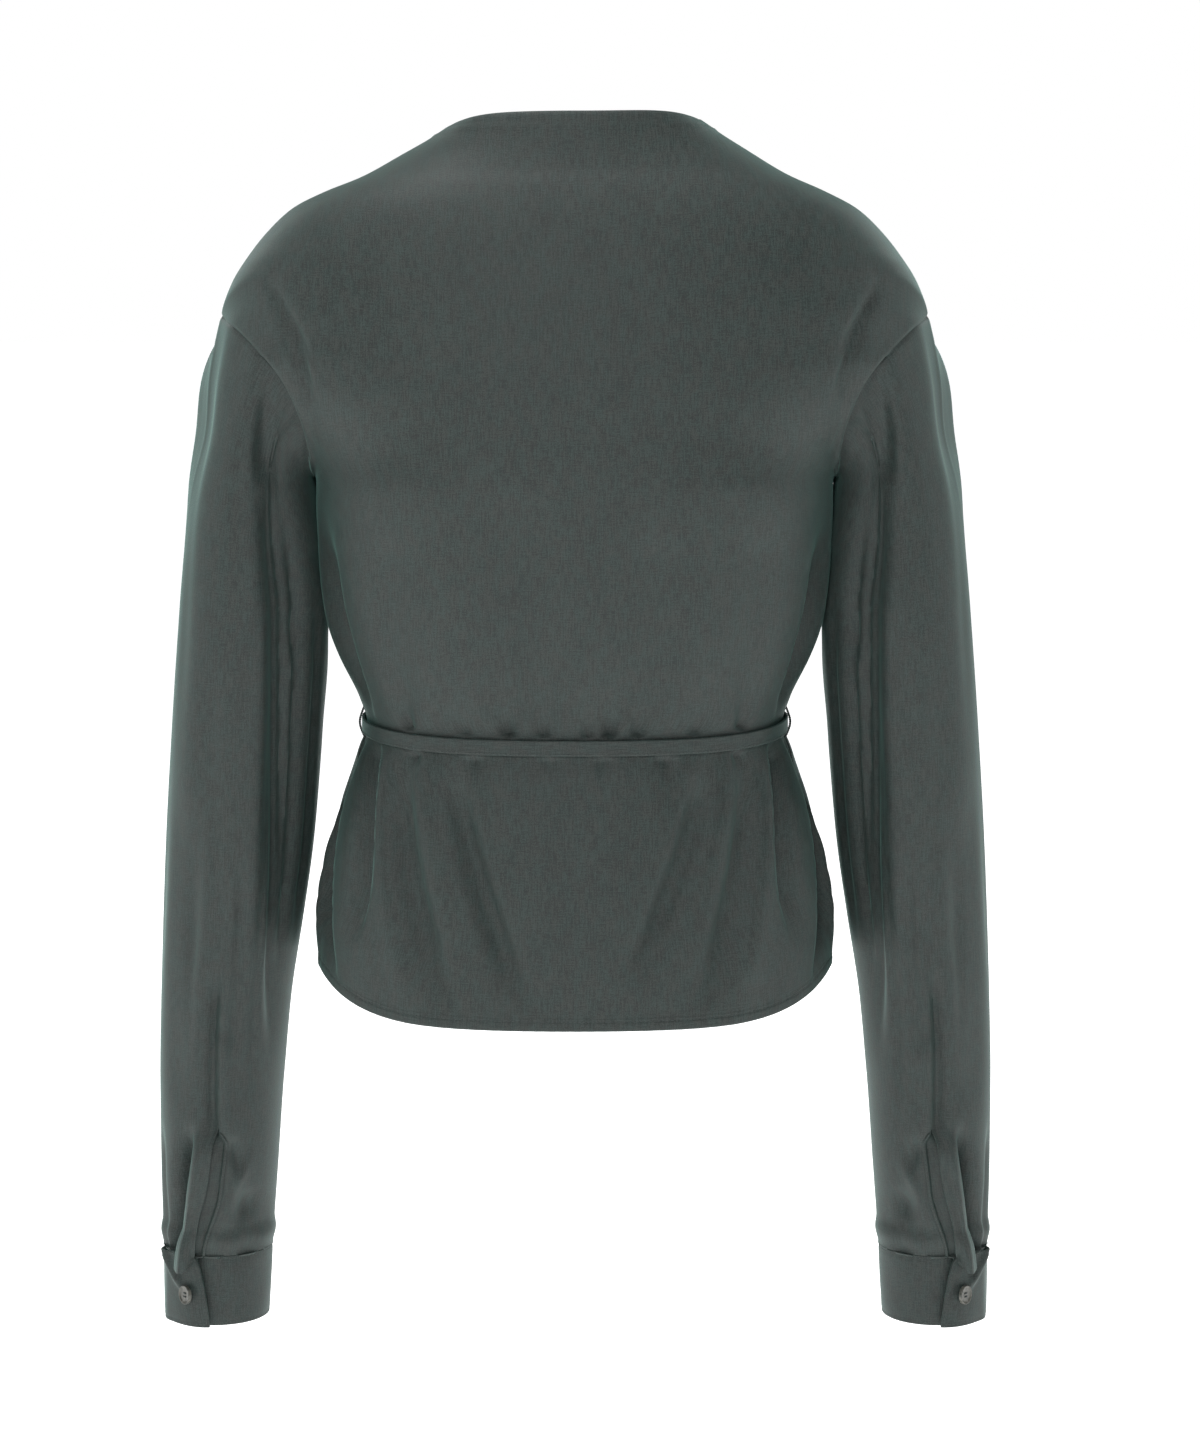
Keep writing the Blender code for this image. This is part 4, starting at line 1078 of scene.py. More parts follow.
LEAN_ENDS = 260 * MM  # below the first row of the sleeve, where its columns hang plumb
SLEEVE_ROUND = 144
ARMHOLE_ROWS = 60
CAP_DIRECTIONS = 24  # directions round the armhole, smoothed between
ROWS_ABOVE_SLIT = 116
FOLD_RADIUS = 45.0  # millimetres of cloth to a radian, for the widths of folds
DENT_RADIUS = 40.0  # and for those of dents
PUFF_TOP = -664 * MM  # from here down the sleeve puffs out over the cuff's seam
PUFF_REACH = 18.7 * MM
SEAM_UNDER = 0.7 * MM  # the turned cloth goes back to this far inside the sleeve
FLAT_RADIUS = 46 * MM  # of the sleeve where its flat coordinates are read


def armhole_places(panel, count):
    """Places of rows whose edges are evenly spaced along the armhole, from the tip of the
    shoulder to the underarm."""
    places = np.linspace(SHOULDER_TIP_ROW, UNDERARM_ROW, ARMHOLE_ROWS)
    edge = np.array([folded_row(place, panel, 1)[0][-1] for place in places])
    along = lengths_along(edge)
    return np.interp(np.linspace(0.0, along[-1], count + 1), along, places)


def armhole(count):
    """The armhole's loop from the tip of the shoulder, down the back and up the front, with the
    way the sleeve's cloth leaves each point and how much of the underarm's turn it has."""
    edge, way = [], []
    for panel in ("back", "front"):
        places = armhole_places(panel, count // 2)
        places = places[:-1] if panel == "back" else places[:0:-1]
        rows = [folded_row(place, panel, 1)[0] for place in places]
        edge += [row[-1] for row in rows]
        way += [unit(row[-1] - row[-4]) for row in rows]
    edge, way = np.array(edge), np.array(way)
    along = unit(np.roll(edge, -1, axis=0) - np.roll(edge, 1, axis=0))
    off_body = unit(way - along * np.sum(way * along, axis=1, keepdims=True))
    under = smoothstep((np.arange(count + 1) / count - UNDERARM_FROM) / (0.5 - UNDERARM_FROM))
    under = np.minimum(under, under[::-1])[:-1, None]
    off_body = unit(off_body + np.array([0.0, 0.0, -SLEEVE_HANG]))
    leave = unit(off_body * (1 - under) + np.array(UNDERARM_LEAVE) * under)
    return edge, leave, under


def finer_round(values, count):
    """Values round a loop, given at a few even places, read smoothly at many."""
    few = len(values)
    place = np.arange(count) * few / count
    k = place.astype(int)
    f = (place - k)[:, None]
    before, here = values[(k - 1) % few], values[k]
    after, last = values[(k + 1) % few], values[(k + 2) % few]
    leave_slope, arrive_slope = (after - before) / 2, (last - here) / 2
    return (
        here * (2 * f**3 - 3 * f**2 + 1) + leave_slope * (f**3 - 2 * f**2 + f)
        + after * (3 * f**2 - 2 * f**3) + arrive_slope * (f**3 - f**2)
    )


def opening_lean(z):
    """How far the sleeve's columns lean round at a level, in radians."""
    rises = min(max((z - CUFF_TOP) / SLIT_LENGTH, 0.0), 1.0)
    ends = float(smoothstep((SLEEVE_ROWS[0][0] * MM - z) / LEAN_ENDS))
    return math.radians(OPENING_LEAN) * rises * ends


def sleeve_ring(place, turns):
    """A level of the sleeve with no folds."""
    z, inner_x, outer_x, middle_y, half_depth = between_rows(SLEEVE_ROWS, place) * MM
    turns = turns + opening_lean(z)
    middle_x, half_width = (inner_x + outer_x) / 2, (outer_x - inner_x) / 2
    return np.stack([
        middle_x + half_width * np.cos(turns),
        middle_y + half_depth * np.sin(turns),
        np.full_like(turns, z),
    ], axis=1)


def sleeve_fold_depth(points, turns):
    depth = np.zeros(len(points))
    for values in SLEEVE_FOLDS:
        fold = dict(zip(SLEEVE_FOLD_COLUMNS, values))
        run = (points[:, 2] / MM - fold["z_top"]) / (fold["z_low"] - fold["z_top"])
        middle = np.radians(fold["turn_top"] + (fold["turn_low"] - fold["turn_top"]) * run)
        away = (turns - middle + math.pi) % (2 * math.pi) - math.pi
        off = sharpen(away * FOLD_RADIUS / fold["width"], fold["steep"])
        fades = smoothstep(run / 0.25) * smoothstep((1.0 - run) / 0.2)
        depth += fold["depth"] * MM * fades * np.exp(-off * off)
    for turn, level, deep, across, along, slant in SLEEVE_DENTS:
        away = (turns - math.radians(turn) + math.pi) % (2 * math.pi) - math.pi
        u, v = away * DENT_RADIUS, points[:, 2] / MM - level
        c, s = math.cos(math.radians(slant)), math.sin(math.radians(slant))
        spread = ((c * u + s * v) / across) ** 2 + ((c * v - s * u) / along) ** 2
        depth += deep * MM * np.exp(-spread)
    return depth


def tuck_share(turns):
    """How much of the tuck there is round the cuff: it grows from the outer side."""
    degrees = np.degrees(turns) % 360
    degrees = np.where(degrees > 300, degrees - 360, degrees)
    return smoothstep((degrees - 30) / 26) * smoothstep((79.5 - degrees) / 9)


def under_rows(edge, seam):
    """Rows that turn under the hanging tuck and go back up to the cuff's seam."""
    rows = []
    hangs = np.linalg.norm(edge - seam, axis=1) > 0.5 * MM
    for t in (0.12, 0.3, 0.55, 0.8, 1.0):
        bulge = math.sin(math.pi * t) * 0.9 * MM * hangs
        rows.append(edge + (seam - edge) * t + np.array([0, 0, -1.0]) * bulge[:, None])
    return rows


def slit_place():
    """The row of the sleeve's table where the opening ends."""
    levels = np.array([row[0] for row in SLEEVE_ROWS], float) * MM
    return float(np.interp(-(levels[-1] + SLIT_LENGTH), -levels, np.arange(len(levels))))


def build_sleeve():
    """The rows of the wearer's left sleeve, from the armhole to the cuff."""
    turns = math.radians(OPENING_TURN) + np.linspace(0.0, 2 * math.pi, SLEEVE_ROUND + 1)
    shift = round((OPENING_TURN - SLEEVE_TWIST) * SLEEVE_ROUND / 360)
    columns = (np.arange(SLEEVE_ROUND + 1) + shift) % SLEEVE_ROUND
    leave, under = (finer_round(values, SLEEVE_ROUND) for values in armhole(CAP_DIRECTIONS)[1:])
    edge, leave, under = armhole(SLEEVE_ROUND)[0][columns], unit(leave)[columns], under[columns]
    start = edge + leave * 0.1 * MM
    first, second = sleeve_ring(0, turns), sleeve_ring(0.3, turns)
    reach = np.linalg.norm(first - start, axis=1, keepdims=True)
    leave = leave * reach * (0.9 - 0.75 * under)
    arrive = unit(second - first) * reach * 0.9
    cap = np.concatenate([[0.0, 0.006, 0.012, 0.02], np.linspace(0.03, 1.0, 62)[:-1]])
    rows = [
        (2 * h**3 - 3 * h**2 + 1) * start + (h**3 - 2 * h**2 + h) * leave
        + (3 * h**2 - 2 * h**3) * first + (h**3 - h**2) * arrive
        for h in cap
    ]
    top = slit_place()
    places = np.concatenate([
        np.linspace(0, top, ROWS_ABOVE_SLIT), np.linspace(top, len(SLEEVE_ROWS) - 1, 44)[1:],
    ])
    rows += [sleeve_ring(place, turns) for place in places]
    grid = np.array(rows)
    along = np.gradient(grid, axis=1)
    along[:, 0] = along[:, -1] = grid[:, 1] - grid[:, -2]
    outward = unit(np.cross(np.gradient(grid, axis=0), along))
    from_seam = np.linalg.norm(grid - grid[:1], axis=2)
    dip = SEAM_DIP * np.exp(-((from_seam / SEAM_DIP_WIDTH) ** 2))
    dip[len(cap):] = 0.0
    for r in range(len(grid)):
        leaning = turns + opening_lean(grid[r, 0, 2]) * (r >= len(cap))
        depth = sleeve_fold_depth(grid[r], leaning) if r else np.zeros(len(turns))
        grid[r] -= outward[r] * (depth + dip[r])[:, None]
    part_the_slit(grid, outward, len(cap) + ROWS_ABOVE_SLIT - 1)
    hang_over_cuff(grid, outward, turns)
    return grid, outward, turns


def part_the_slit(grid, outward, slit_row):
    """Below the slit's top its edges part: the outer one is raised, the bound one swings in."""
    top, bottom = grid[slit_row, 0, 2], grid[-1, 0, 2]
    sideways = unit(grid[:, 1] - grid[:, -2])
    share = np.clip((top - grid[:, 0, 2]) / (top - bottom), 0.0, 1.0)
    bound = BOUND_SWING * smoothstep(share / 0.12) * (1 - 1.35 * smoothstep((share - 0.5) / 0.5))
    free = FREE_SWING * (0.38 * smoothstep(share / 0.12) + 0.62 * smoothstep((share - 0.4) / 0.4))
    raised = SLIT_RISE * smoothstep(share / 0.15)
    for k in range(12):
        near = 0.5 + 0.5 * math.cos(math.pi * k / 12)
        grid[:, -1 - k] += outward[:, -1 - k] * (raised * near)[:, None]
        grid[:, -1 - k] -= sideways * (free * near)[:, None]
        grid[:, k] += (sideways * bound[:, None] - outward[:, k] * 0.4 * raised[:, None]) * near


def hang_over_cuff(grid, outward, turns):
    """The cloth is fuller than the cuff, so it puffs out over the seam, most at the tuck."""
    tuck = tuck_share(turns)
    for r in range(len(grid)):
        near = float(smoothstep((PUFF_TOP - grid[r, 0, 2]) / PUFF_REACH))
        puff = 1.3 * MM * math.sin(math.pi * near)
        way = outward[r] * (1, 1, 0)
        grid[r] += way * (puff + TUCK_STANDS * tuck * near)[:, None]
        grid[r, :, 2] -= TUCK_HANGS * tuck * near**1.5


sleeve_grid, sleeve_outward, sleeve_turns = build_sleeve()
seam_ring = sleeve_ring(len(SLEEVE_ROWS) - 1, sleeve_turns)
seam_ring = seam_ring - sleeve_outward[-1] * (SEAM_UNDER, SEAM_UNDER, 0)
turned_under = under_rows(sleeve_grid[-1], seam_ring)
outer_sleeve = sleeve_grid
sleeve_grid = np.concatenate([sleeve_grid, turned_under])
sleeve_across = np.repeat((sleeve_turns * FLAT_RADIUS)[None], len(sleeve_grid), axis=0)
sleeve_along = np.repeat(-lengths_along(sleeve_grid[:, 0])[:, None], len(sleeve_turns), axis=1)
sleeves = sheet_pair("sleeve", sleeve_grid, sleeve_across, sleeve_along)

# %% [markdown]
# ## The cuffs
#
# A cuff is two layers with an interlining, so its wall is thicker and its edges are round. It
# wraps past the opening, and the buttoned end lies over the start.

# %% The cuffs
CUFF_BOTTOM = -726 * MM
CUFF_WALL = 1.8 * MM
CUFF_LAP = 40.0
CUFF_LAP_RISE = 2.4 * MM
CUFF_END_LIFT = 3.0 * MM  # the buttoned end stands off
CUFF_END_SLANTS = (-9.0, 7.0)  # degrees that the end moves round at its top and at its foot
# A ridge across the buttoned end: where it is at the top and low down, how far down, how high
CUFF_RIDGE = (24.0, 70.0, 0.62, 2.4)
RIDGE_SIDES = (3.0 * MM, 4.5 * MM)  # how wide it is before and after its crest
CUFF_DEGREE = 0.62 * MM  # of cloth to a degree round the cuff
CUFF_INNER_TOP, CUFF_OUTER_TOP = 185.9 * MM, 252.5 * MM
CUFF_INNER_LOW, CUFF_OUTER_LOW = 188.2 * MM, 252.6 * MM
CUFF_MIDDLE_Y = -21 * MM
CUFF_HALF_DEPTH = 36 * MM
CUFF_STITCH_IN = 1.6 * MM


def cuff_point(turn, share):
    """A point of the cuff's outer face: turn in degrees, share from the seam to the edge."""
    inner = CUFF_INNER_TOP + (CUFF_INNER_LOW - CUFF_INNER_TOP) * share
    outer = CUFF_OUTER_TOP + (CUFF_OUTER_LOW - CUFF_OUTER_TOP) * share
    lapped_from = 360 + OPENING_TURN - CUFF_LAP
    rise = CUFF_LAP_RISE * float(smoothstep((turn - (lapped_from - 30)) / 24))
    rise += CUFF_END_LIFT * float(smoothstep((turn - lapped_from) / CUFF_LAP))
    a = math.radians(turn)
    return np.array([
        (inner + outer) / 2 + ((outer - inner) / 2 + rise) * math.cos(a),
        CUFF_MIDDLE_Y + (CUFF_HALF_DEPTH + rise) * math.sin(a),
        CUFF_TOP + (CUFF_BOTTOM - CUFF_TOP) * share,
    ])


def cuff_normal(turn):
    step = cuff_point(turn + 1, 0.5) - cuff_point(turn - 1, 0.5)
    return unit(np.array([step[1], -step[0], 0.0]))


def build_cuff():
    """The cuff's outer face, with a row of small puckers inside its edges."""
    shares = np.linspace(0.0, 1.0, 27)
    rows = []
    for share in shares:
        slant = CUFF_END_SLANTS[0] + (CUFF_END_SLANTS[1] - CUFF_END_SLANTS[0]) * share**0.6
        end = OPENING_TURN + 360 + slant
        turns = np.linspace(OPENING_TURN - CUFF_LAP, end, 190)
        row = np.array([cuff_point(turn, share) for turn in turns])
        outward = np.array([cuff_normal(turn) for turn in turns])
        down = share * (CUFF_TOP - CUFF_BOTTOM)
        from_end = lengths_along(row)[-1] - lengths_along(row)
        from_edge = np.minimum(np.minimum(down, CUFF_TOP - CUFF_BOTTOM - down), from_end)
        pressed = 0.32 * MM * np.exp(-(((from_edge - CUFF_STITCH_IN) / (0.7 * MM)) ** 2))
        wavy = 0.3 * MM * np.sin(lengths_along(row) * 170 + 2 * share) * np.sin(share * math.pi)
        ridge_at = 360 + CUFF_RIDGE[0] + (CUFF_RIDGE[1] - CUFF_RIDGE[0]) * share / CUFF_RIDGE[2]
        off = (turns - ridge_at) * CUFF_DEGREE
        slope = np.where(off > 0, off / RIDGE_SIDES[1], off / RIDGE_SIDES[0])
        fades = float(smoothstep((CUFF_RIDGE[2] - share) / 0.3))
        ridge = CUFF_RIDGE[3] * MM * np.exp(-slope * slope) * fades
        rows.append(row + outward * (wavy - pressed + ridge)[:, None])
    return np.array(rows)


cuff_grid = build_cuff()
cuff_across = np.repeat(lengths_along(cuff_grid[0])[None], len(cuff_grid), axis=0)
cuff_along = np.repeat(-lengths_along(cuff_grid[:, 0])[:, None], cuff_grid.shape[1], axis=1)
cuffs = sheet_pair(
    "cuff", cuff_grid, cuff_across, cuff_along, wall=CUFF_WALL, edge_round=0.6 * MM
)
print("cuff round:", round(float(lengths_along(cuff_grid[0])[-1]), 3), "m")

# %% [markdown]
# ## The tie
#
# A narrow sewn tie goes round the waist, with its knot and two ends at the front.

# %% The tie
TIE_WIDTH = 9 * MM
TIE_WALL = 1.6 * MM
TIE_CLEARANCE = 1.6 * MM
TIE_END_LENGTH = 148 * MM
KNOT_SIZE = (17 * MM, 7.5 * MM, 13 * MM)
SEAM_GAP = 0.3 * MM


def tie_line(clearance):
    """The closed line round the waist that the tie's inner face follows."""
    front_line = base_row(WAIST_ROW, "front") + row_normals(WAIST_ROW, "front") * clearance
    back_line = base_row(WAIST_ROW, "back") + row_normals(WAIST_ROW, "back") * clearance
    half = np.concatenate([front_line, back_line[::-1][1:]])
    other = (half * (-1, 1, 1))[::-1]
    return np.concatenate([half, other[1:-1]])


line = tie_line(TIE_CLEARANCE)
closed_line = np.concatenate([line, line[:1]])
along_tie = lengths_along(closed_line)
knot_half = KNOT_SIZE[0] / 2 + SEAM_GAP
wanted = np.linspace(knot_half, along_tie[-1] - knot_half, 420)
tie_path = walk(closed_line, wanted)
levels = np.linspace(-0.5, 0.5, 9) * TIE_WIDTH
tie_grid = np.array([tie_path + (0, 0, level) for level in levels])
tie_out = unit(np.cross(np.gradient(tie_path, axis=0), (0.0, 0.0, 1.0)))
tie_grid = tie_grid + tie_out * TIE_WALL
tie = cloth_sheet(
    "tie_cloth", tie_grid, np.repeat(levels[:, None], len(wanted), axis=1),
    np.repeat(wanted[None], len(levels), axis=0), TIE_FINISH, wall=TIE_WALL, edge_round=0.5 * MM,
)
ride_as(tie, "tie")

# %% [markdown]
# ## The bindings of the sleeve openings
#
# A narrow strip binds the inner edge of each opening. It follows the sleeve's cloth, is doubled
# and is stitched down along its outer edge.

# %% The bindings
PLACKET_WALL = 0.8 * MM
PLACKET_OVER = 1.8 * MM  # it lies this far over the sleeve's cloth
PLACKET_HIGH = (0.85 * MM, 1.2 * MM, 1.1 * MM)  # how far it stands out there, up to the edge
PLACKET_UNDER = 1.1 * MM  # how far inside it lies in the opening
PLACKET_BELOW_FREE = 2.4 * MM  # and under the opening's free edge


def build_placket():
    """A strip from just over the bound edge, down into the opening and under the free edge."""
    rows = np.nonzero(outer_sleeve[:, 0, 2] < CUFF_TOP + SLIT_LENGTH - 3 * MM)[0]
    grid, normals = [], []
    for r in rows:
        on_cloth = walk(outer_sleeve[r, :6], np.array([PLACKET_OVER, PLACKET_OVER / 2, 0.0]))
        out = unit(sleeve_outward[r, :6].mean(axis=0))
        free = outer_sleeve[r, -1] - sleeve_outward[r, -1] * PLACKET_BELOW_FREE
        across = free - outer_sleeve[r, 0]
        side = unit(across - out * np.dot(across, out))
        high = on_cloth + out * np.array(PLACKET_HIGH)[:, None]
        inside = out * PLACKET_UNDER
        low = [outer_sleeve[r, 0] + across * t - inside for t in (0.12, 0.45, 0.8, 1.0)]
        beyond = [free + side * reach - inside for reach in (2 * MM, 4 * MM)]
        line = np.concatenate([high, low, beyond])
        grid.append(line)
        normals.append(np.repeat(out[None], len(line), axis=0))
    grid = np.array(grid)
    across = lengths_along(grid[len(grid) // 2])
    return grid, np.array(normals), across


placket_grid, placket_normals, placket_across = build_placket()
placket_along = -lengths_along(placket_grid[:, 0])
placket_rows, placket_columns = placket_grid.shape[:2]
plackets = sheet_pair(
    "placket", placket_grid[:, ::-1],
    np.repeat(placket_across[None, ::-1], placket_rows, axis=0),
    np.repeat(placket_along[:, None], placket_columns, axis=1),
    wall=PLACKET_WALL, edge_round=0.3 * MM,
)
for half, side_name in SIDES:
    stitch_run(
        f"placket_stitches_{side_name}", placket_grid[:, 1] * (half, 1, 1),
        placket_normals[:, 1] * (half, 1, 1), radius=0.14 * MM,
    )

# %% [markdown]
# ## The stitches of the cuffs and the tie
#
# Each cuff is stitched close to its edges, which presses its layers together, and the tie is
# stitched along its lower edge. The lines follow the pieces that are already made.

# %% Stitches of the cuffs and the tie
def cuff_stitch_line():
    """Along the cuff's top, down its free end and back along its foot."""
    inset = CUFF_STITCH_IN / (CUFF_TOP - CUFF_BOTTOM)
    end = cuff_grid.shape[1] - 1
    normals = grid_normals(cuff_grid, -1.0)
    rows = np.linspace(0, 1, cuff_grid.shape[0])
    low = int(np.argmin(np.abs(rows - inset)))
    high = len(rows) - 1 - low
    back_by = int(round(CUFF_STITCH_IN / (cuff_across[0, -1] / end)))
    path = np.concatenate([
        cuff_grid[low, 3:end - back_by], cuff_grid[low:high + 1, end - back_by],
        cuff_grid[high, end - back_by - 1:2:-1],
    ])
    outward = np.concatenate([
        normals[low, 3:end - back_by], normals[low:high + 1, end - back_by],
        normals[high, end - back_by - 1:2:-1],
    ])
    return path, outward


cuff_path, cuff_out = cuff_stitch_line()
middle_of_cuff = np.array([(CUFF_INNER_TOP + CUFF_OUTER_TOP) / 2, CUFF_MIDDLE_Y, 0.0])
if np.sum(cuff_out * (cuff_path - middle_of_cuff) * (1, 1, 0)) < 0:
    cuff_out = -cuff_out
for half, side_name in SIDES:
    stitch_run(f"cuff_stitches_{side_name}", cuff_path * (half, 1, 1), cuff_out * (half, 1, 1))
stitch_run("tie_stitches", tie_grid[1] + tie_out * 0.02 * MM, tie_out)
print("stitched the cuffs and the tie")

# %% [markdown]
# ## The buttons
#
# A button is turned from a disc: a rounded rim, a shallow dish and four drilled holes. It is
# sewn on with two bars of thread that pass through the holes.

# %% The buttons
BUTTON_RADIUS = 5.8 * MM
BUTTON_THICKNESS = 2.2 * MM
BUTTON_TURN = 66.0
BUTTON_LEAN = 17.0
BUTTON_LEVEL = -706 * MM
HOLE_SPREAD = 1.5 * MM
HOLE_RADIUS = 0.62 * MM


def select_faces(test):
    """In edit mode, select the faces whose middle and normal pass a test."""
    bpy.ops.object.mode_set(mode="OBJECT")
    for polygon in bpy.context.object.data.polygons:
        polygon.select = bool(test(polygon))
    bpy.ops.object.mode_set(mode="EDIT")


def model_button(name):
    bpy.ops.object.select_all(action="DESELECT")
    bpy.ops.mesh.primitive_cylinder_add(vertices=48, radius=BUTTON_RADIUS, depth=BUTTON_THICKNESS)
    button = bpy.context.object
    button.name = name
    bpy.ops.object.mode_set(mode="EDIT")
    bpy.ops.mesh.select_mode(type="FACE")
    select_faces(lambda face: face.normal.z > 0.9)
    bpy.ops.mesh.inset(thickness=0.75 * MM)
    bpy.ops.mesh.inset(thickness=0.7 * MM)
    bpy.ops.transform.translate(value=(0.0, 0.0, -0.75 * MM))
    bpy.ops.mesh.inset(thickness=1.2 * MM)
    bpy.ops.transform.translate(value=(0.0, 0.0, -0.12 * MM))
    bpy.ops.object.mode_set(mode="OBJECT")
    rim = button.modifiers.new("Rim", "BEVEL")
    rim.width = 0.42 * MM
    rim.segments = 4
    rim.angle_limit = math.radians(35)
    for k in range(4):
        a = math.radians(45 + 90 * k)
        bpy.ops.mesh.primitive_cylinder_add(
            vertices=20, radius=HOLE_RADIUS, depth=3 * BUTTON_THICKNESS,
            location=(HOLE_SPREAD * math.cos(a), HOLE_SPREAD * math.sin(a), 0.0),
        )
        drill = bpy.context.object
        drill.name = f"drill_{name}_{k}"
        cut = button.modifiers.new(f"Hole {k}", "BOOLEAN")
        cut.operation = "DIFFERENCE"
        cut.object = drill
    apply_modifiers(button)
    for k in range(4):
        bpy.data.objects.remove(bpy.data.objects[f"drill_{name}_{k}"])
    only(button)
    bpy.ops.object.shade_smooth_by_angle(angle=math.radians(35))
    button.data.materials.clear()
    button.data.materials.append(BUTTON_FINISH)
    return button


def button_threads(name):
    """Two bars of thread, each of three strands, over the button's face."""
    reach = HOLE_SPREAD * math.sqrt(0.5)
    floor_z = BUTTON_THICKNESS / 2 - 0.87 * MM
    strands = []
    for bar in (-1, 1):
        for strand in (-1, 0, 1):
            t = np.linspace(-1.0, 1.0, 11)
            height = floor_z + 0.62 * MM - 1.9 * MM * np.abs(t) ** 6 - 0.1 * MM * abs(strand)
            y = bar * reach + strand * 0.26 * MM * (1 - 0.5 * np.abs(t))
            points = np.stack([t * (reach + 0.1 * MM), y, height], axis=1)
            strands.append(thread_tube(f"{name}_{bar}_{strand}", points, 0.16 * MM, sides=6))
    return join_as(name, strands)


def seat_on_cuff(thing, half):
    """The button leans a little towards the cuff's outer side, where its thread pulls it."""
    turn = BUTTON_TURN + 360
    share = (BUTTON_LEVEL - CUFF_TOP) / (CUFF_BOTTOM - CUFF_TOP)
    square = cuff_normal(turn)
    lean = math.radians(BUTTON_LEAN)
    pulled = np.array([square[1], -square[0], 0.12])
    outward = unit(square * math.cos(lean) + pulled * math.sin(lean))
    seat = cuff_point(turn, share) + square * (SEAM_GAP + BUTTON_THICKNESS / 2 + 1.3 * MM)
    seat, outward = seat * (half, 1, 1), outward * (half, 1, 1)
    turned = Vector(outward).to_track_quat("Z", "Y").to_matrix().to_4x4()
    thing.matrix_world = Matrix.Translation(Vector(seat)) @ turned
    only(thing)
    bpy.ops.object.transform_apply(location=True, rotation=True, scale=True)


for half, side_name in SIDES:
    button = model_button(f"button_{side_name}_body")
    seat_on_cuff(button, half)
    ride_as(button, f"button_{side_name}")
    bars = button_threads(f"button_{side_name}_thread")
    seat_on_cuff(bars, half)
    ride_as(bars, None)
print("two buttons with four holes each")

# %% [markdown]
# ## The thread loops at the side seams
#
# Two strands are twisted together into each loop. It starts at the seam above the tie, passes
# outside the tie and ends at the seam below it.

# %% The thread loops
LOOP_REACH = 9 * MM
LOOP_STRAND = 0.42 * MM
LOOP_TWISTS = 7


def seam_x(z):
    places = np.linspace(WAIST_ROW - 3, WAIST_ROW + 3, 25)
    rows = np.array([folded_row(place, "back", 1)[0][-1] for place in places])
    return float(np.interp(z, rows[:, 2], rows[:, 0]))


def loop_line(count):
    seam = base_row(WAIST_ROW, "back")[-1]
    off_tie = seam[0] + TIE_CLEARANCE + TIE_WALL + 1.4 * MM
    points = []
    for share in np.linspace(0.0, 1.0, count):
        z = seam[2] + LOOP_REACH * (1 - 2 * share)
        swell = math.sin(math.pi * share) ** 0.75
        points.append(((seam_x(z) + 0.2 * MM) * (1 - swell) + off_tie * swell, seam[1], z))
    return np.array(points)


loop_path = loop_line(71)
for half, side_name in SIDES:
    strands = []
    for phase in (0.0, math.pi):
        turn = np.linspace(0, 2 * math.pi * LOOP_TWISTS, len(loop_path)) + phase
        away = np.stack([np.cos(turn), np.sin(turn), np.zeros_like(turn)], axis=1)
        strand_path = (loop_path + away * LOOP_STRAND * 0.9) * (half, 1, 1)
        strands.append(thread_tube(f"loop_{side_name}_{phase:.0f}", strand_path, LOOP_STRAND))
    loop = join_as(f"carrier_{side_name}_thread", strands)
    ride_as(loop, f"carrier_{side_name}")
print("thread loops at both side seams")

# %% [markdown]
# ## The knot
#
# The knot is a rounded block, pinched where the tie goes into it and creased where its turns
# cross. It starts as a cube that is divided finely and softened, and then its creases go in.

# %% The knot
KNOT_LINES = ((0.0, 0.14, 1.0), (0.75, 0.12, 0.6), (-0.8, 0.12, 0.6))  # place, width, strength


def model_knot():
    middle = base_row(WAIST_ROW, "front")[0]
    seat = (0.0, middle[1] - TIE_CLEARANCE - KNOT_SIZE[1] / 2 + 0.4 * MM, middle[2])
    bpy.ops.object.select_all(action="DESELECT")
    bpy.ops.mesh.primitive_cube_add(size=1.0)
    knot = bpy.context.object
    knot.name = "knot_cloth"
    knot.scale = KNOT_SIZE
    bpy.ops.object.transform_apply(location=False, rotation=False, scale=True)
    bpy.ops.object.mode_set(mode="EDIT")
    bpy.ops.mesh.select_all(action="SELECT")
    bpy.ops.mesh.subdivide(number_cuts=15)
    bpy.ops.object.mode_set(mode="OBJECT")
    softened = knot.modifiers.new("Soft", "CAST")
    softened.factor = 0.32
    softened.use_z = softened.use_x = softened.use_y = True
    apply_modifiers(knot)
    points = np.array([tuple(vertex.co) for vertex in knot.data.vertices])
    extent = np.abs(points).max(axis=0)
    points = points / extent * np.array(KNOT_SIZE) / 2
    u, w = points[:, 0] / KNOT_SIZE[0] * 2, points[:, 2] / KNOT_SIZE[2] * 2
    face = smoothstep(-points[:, 1] / (KNOT_SIZE[1] / 2) / 0.6)
    slanted = u * 0.8 + w
    lines = np.zeros(len(points))
    for place, width, strength in KNOT_LINES:
        lines += strength * np.exp(-(((slanted - place) / width) ** 2))
    points[:, 1] += face * lines * 1.1 * MM
    pinch = 1.0 - 0.16 * smoothstep((np.abs(u) - 0.4) / 0.6)
    points[:, 2] *= pinch
    knot.data.vertices.foreach_set("co", points.ravel())
    knot.data.materials.clear()
    knot.data.materials.append(TIE_FINISH)
    lay_flat(knot, points[:, [2, 0]] + points[:, [1, 1]] * 0.5)
    knot.location = seat
    only(knot)
    bpy.ops.object.transform_apply(location=True, rotation=True, scale=True)
    knot.data.shade_smooth()
    return knot


knot = model_knot()
ride_as(knot, "knot")
print("knot:", len(knot.data.polygons), "faces")

# %% [markdown]
# ## The ends of the tie
#
# The two ends hang from the knot down the front. They spread a little, roll and wave on their
# way, and stay a small distance off the front's cloth.

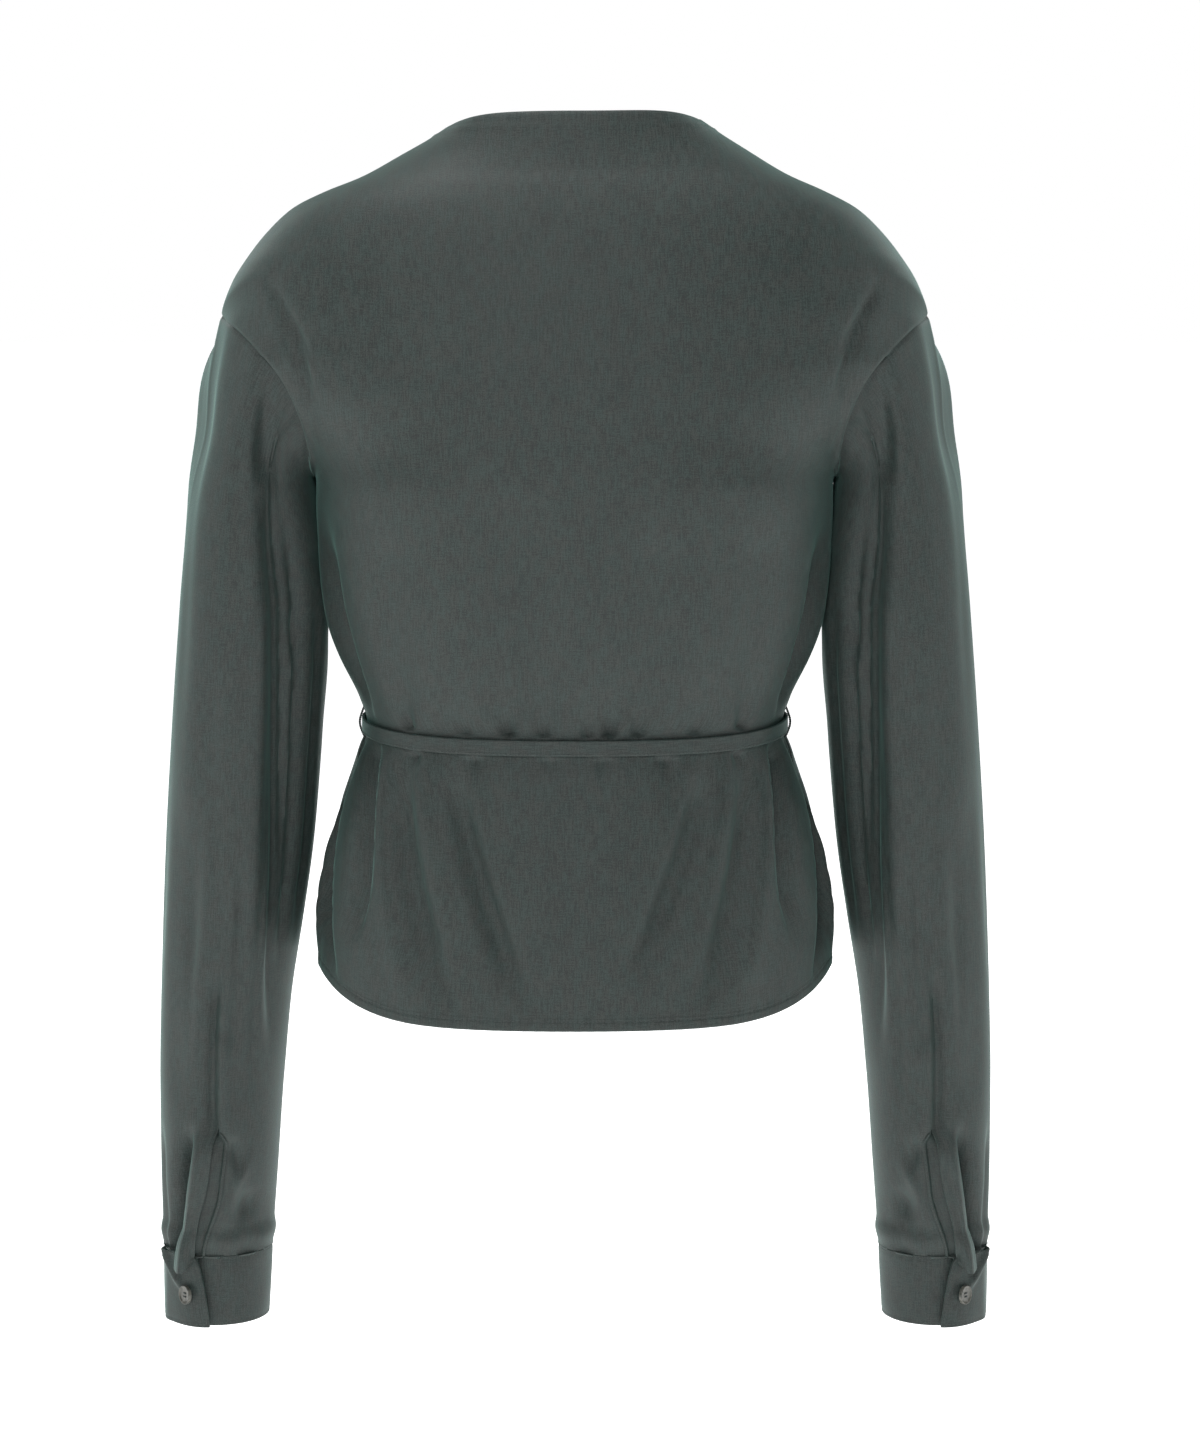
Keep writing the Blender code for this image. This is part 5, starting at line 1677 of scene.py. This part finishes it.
# %% The ends of the tie


def front_surface(x, z):
    """The front's outer surface, without folds, at a distance from its middle and a level."""
    best = None
    for row in FRONT_LEVELS:
        y = np.interp(abs(x), row[:, 0], row[:, 1])
        level = np.interp(abs(x), row[:, 0], row[:, 2])
        if best is None or abs(level - z) < best[0]:
            best = (abs(level - z), y)
    return best[1]


def tie_end_length(half):
    """No tie is knotted quite evenly, so the right end is shorter."""
    return TIE_END_LENGTH * (1.0 if half > 0 else 0.93)


FRONT_LEVELS = [base_row(place, "front") for place in np.linspace(0.0, WAIST_ROW, 60)]
tie_ends = {}
for half, side_name in SIDES:
    start = base_row(WAIST_ROW, "front")[0][2] - KNOT_SIZE[2] / 2 - 2.5 * SEAM_GAP
    length = tie_end_length(half)
    rows = []
    for share in np.linspace(0.0, 1.0, 64):
        x = half * (6.0 + 13.0 * share) * MM
        z = start - length * share
        y = front_surface(x, z) - TIE_CLEARANCE - 0.6 * MM - TIE_WALL
        tilt = half * math.radians(5)
        rolls = math.radians(9) * math.sin(2.4 * math.pi * share + half)
        wave = 0.7 * MM * (math.sin(3 * math.pi * share + half) - 1.0) * smoothstep(share / 0.2)
        across = np.linspace(-0.5, 0.5, 9) * (TIE_WIDTH - 0.4 * MM)
        rows.append(np.stack([
            x + across * math.cos(tilt), y + wave + across * math.sin(rolls) * share,
            z + across * math.sin(tilt),
        ], axis=1))
    end_grid = np.array(rows)
    across = np.repeat((np.linspace(-0.5, 0.5, 9) * TIE_WIDTH)[None], len(rows), axis=0)
    along = np.repeat(-np.linspace(0, length, len(rows))[:, None], 9, axis=1)
    tie_ends[side_name] = cloth_sheet(
        f"tie_end_{side_name}_cloth", end_grid[::-1], across[::-1], along[::-1], TIE_FINISH,
        wall=TIE_WALL, edge_round=0.5 * MM,
    )
    ride_as(tie_ends[side_name], f"tie_end_{side_name}")
    outward = grid_normals(end_grid)
    if outward[:, :, 1].mean() > 0:
        outward = -outward
    stitch_run(f"tie_end_stitches_{side_name}", end_grid[:, 7], outward[:, 7], radius=0.14 * MM)
print("tie ends:", TIE_END_LENGTH, "m")

# %% [markdown]
# ## All the pieces are made

# %% All the pieces are made
print("made the sheets of the panels, sleeves, cuffs, bindings and tie")
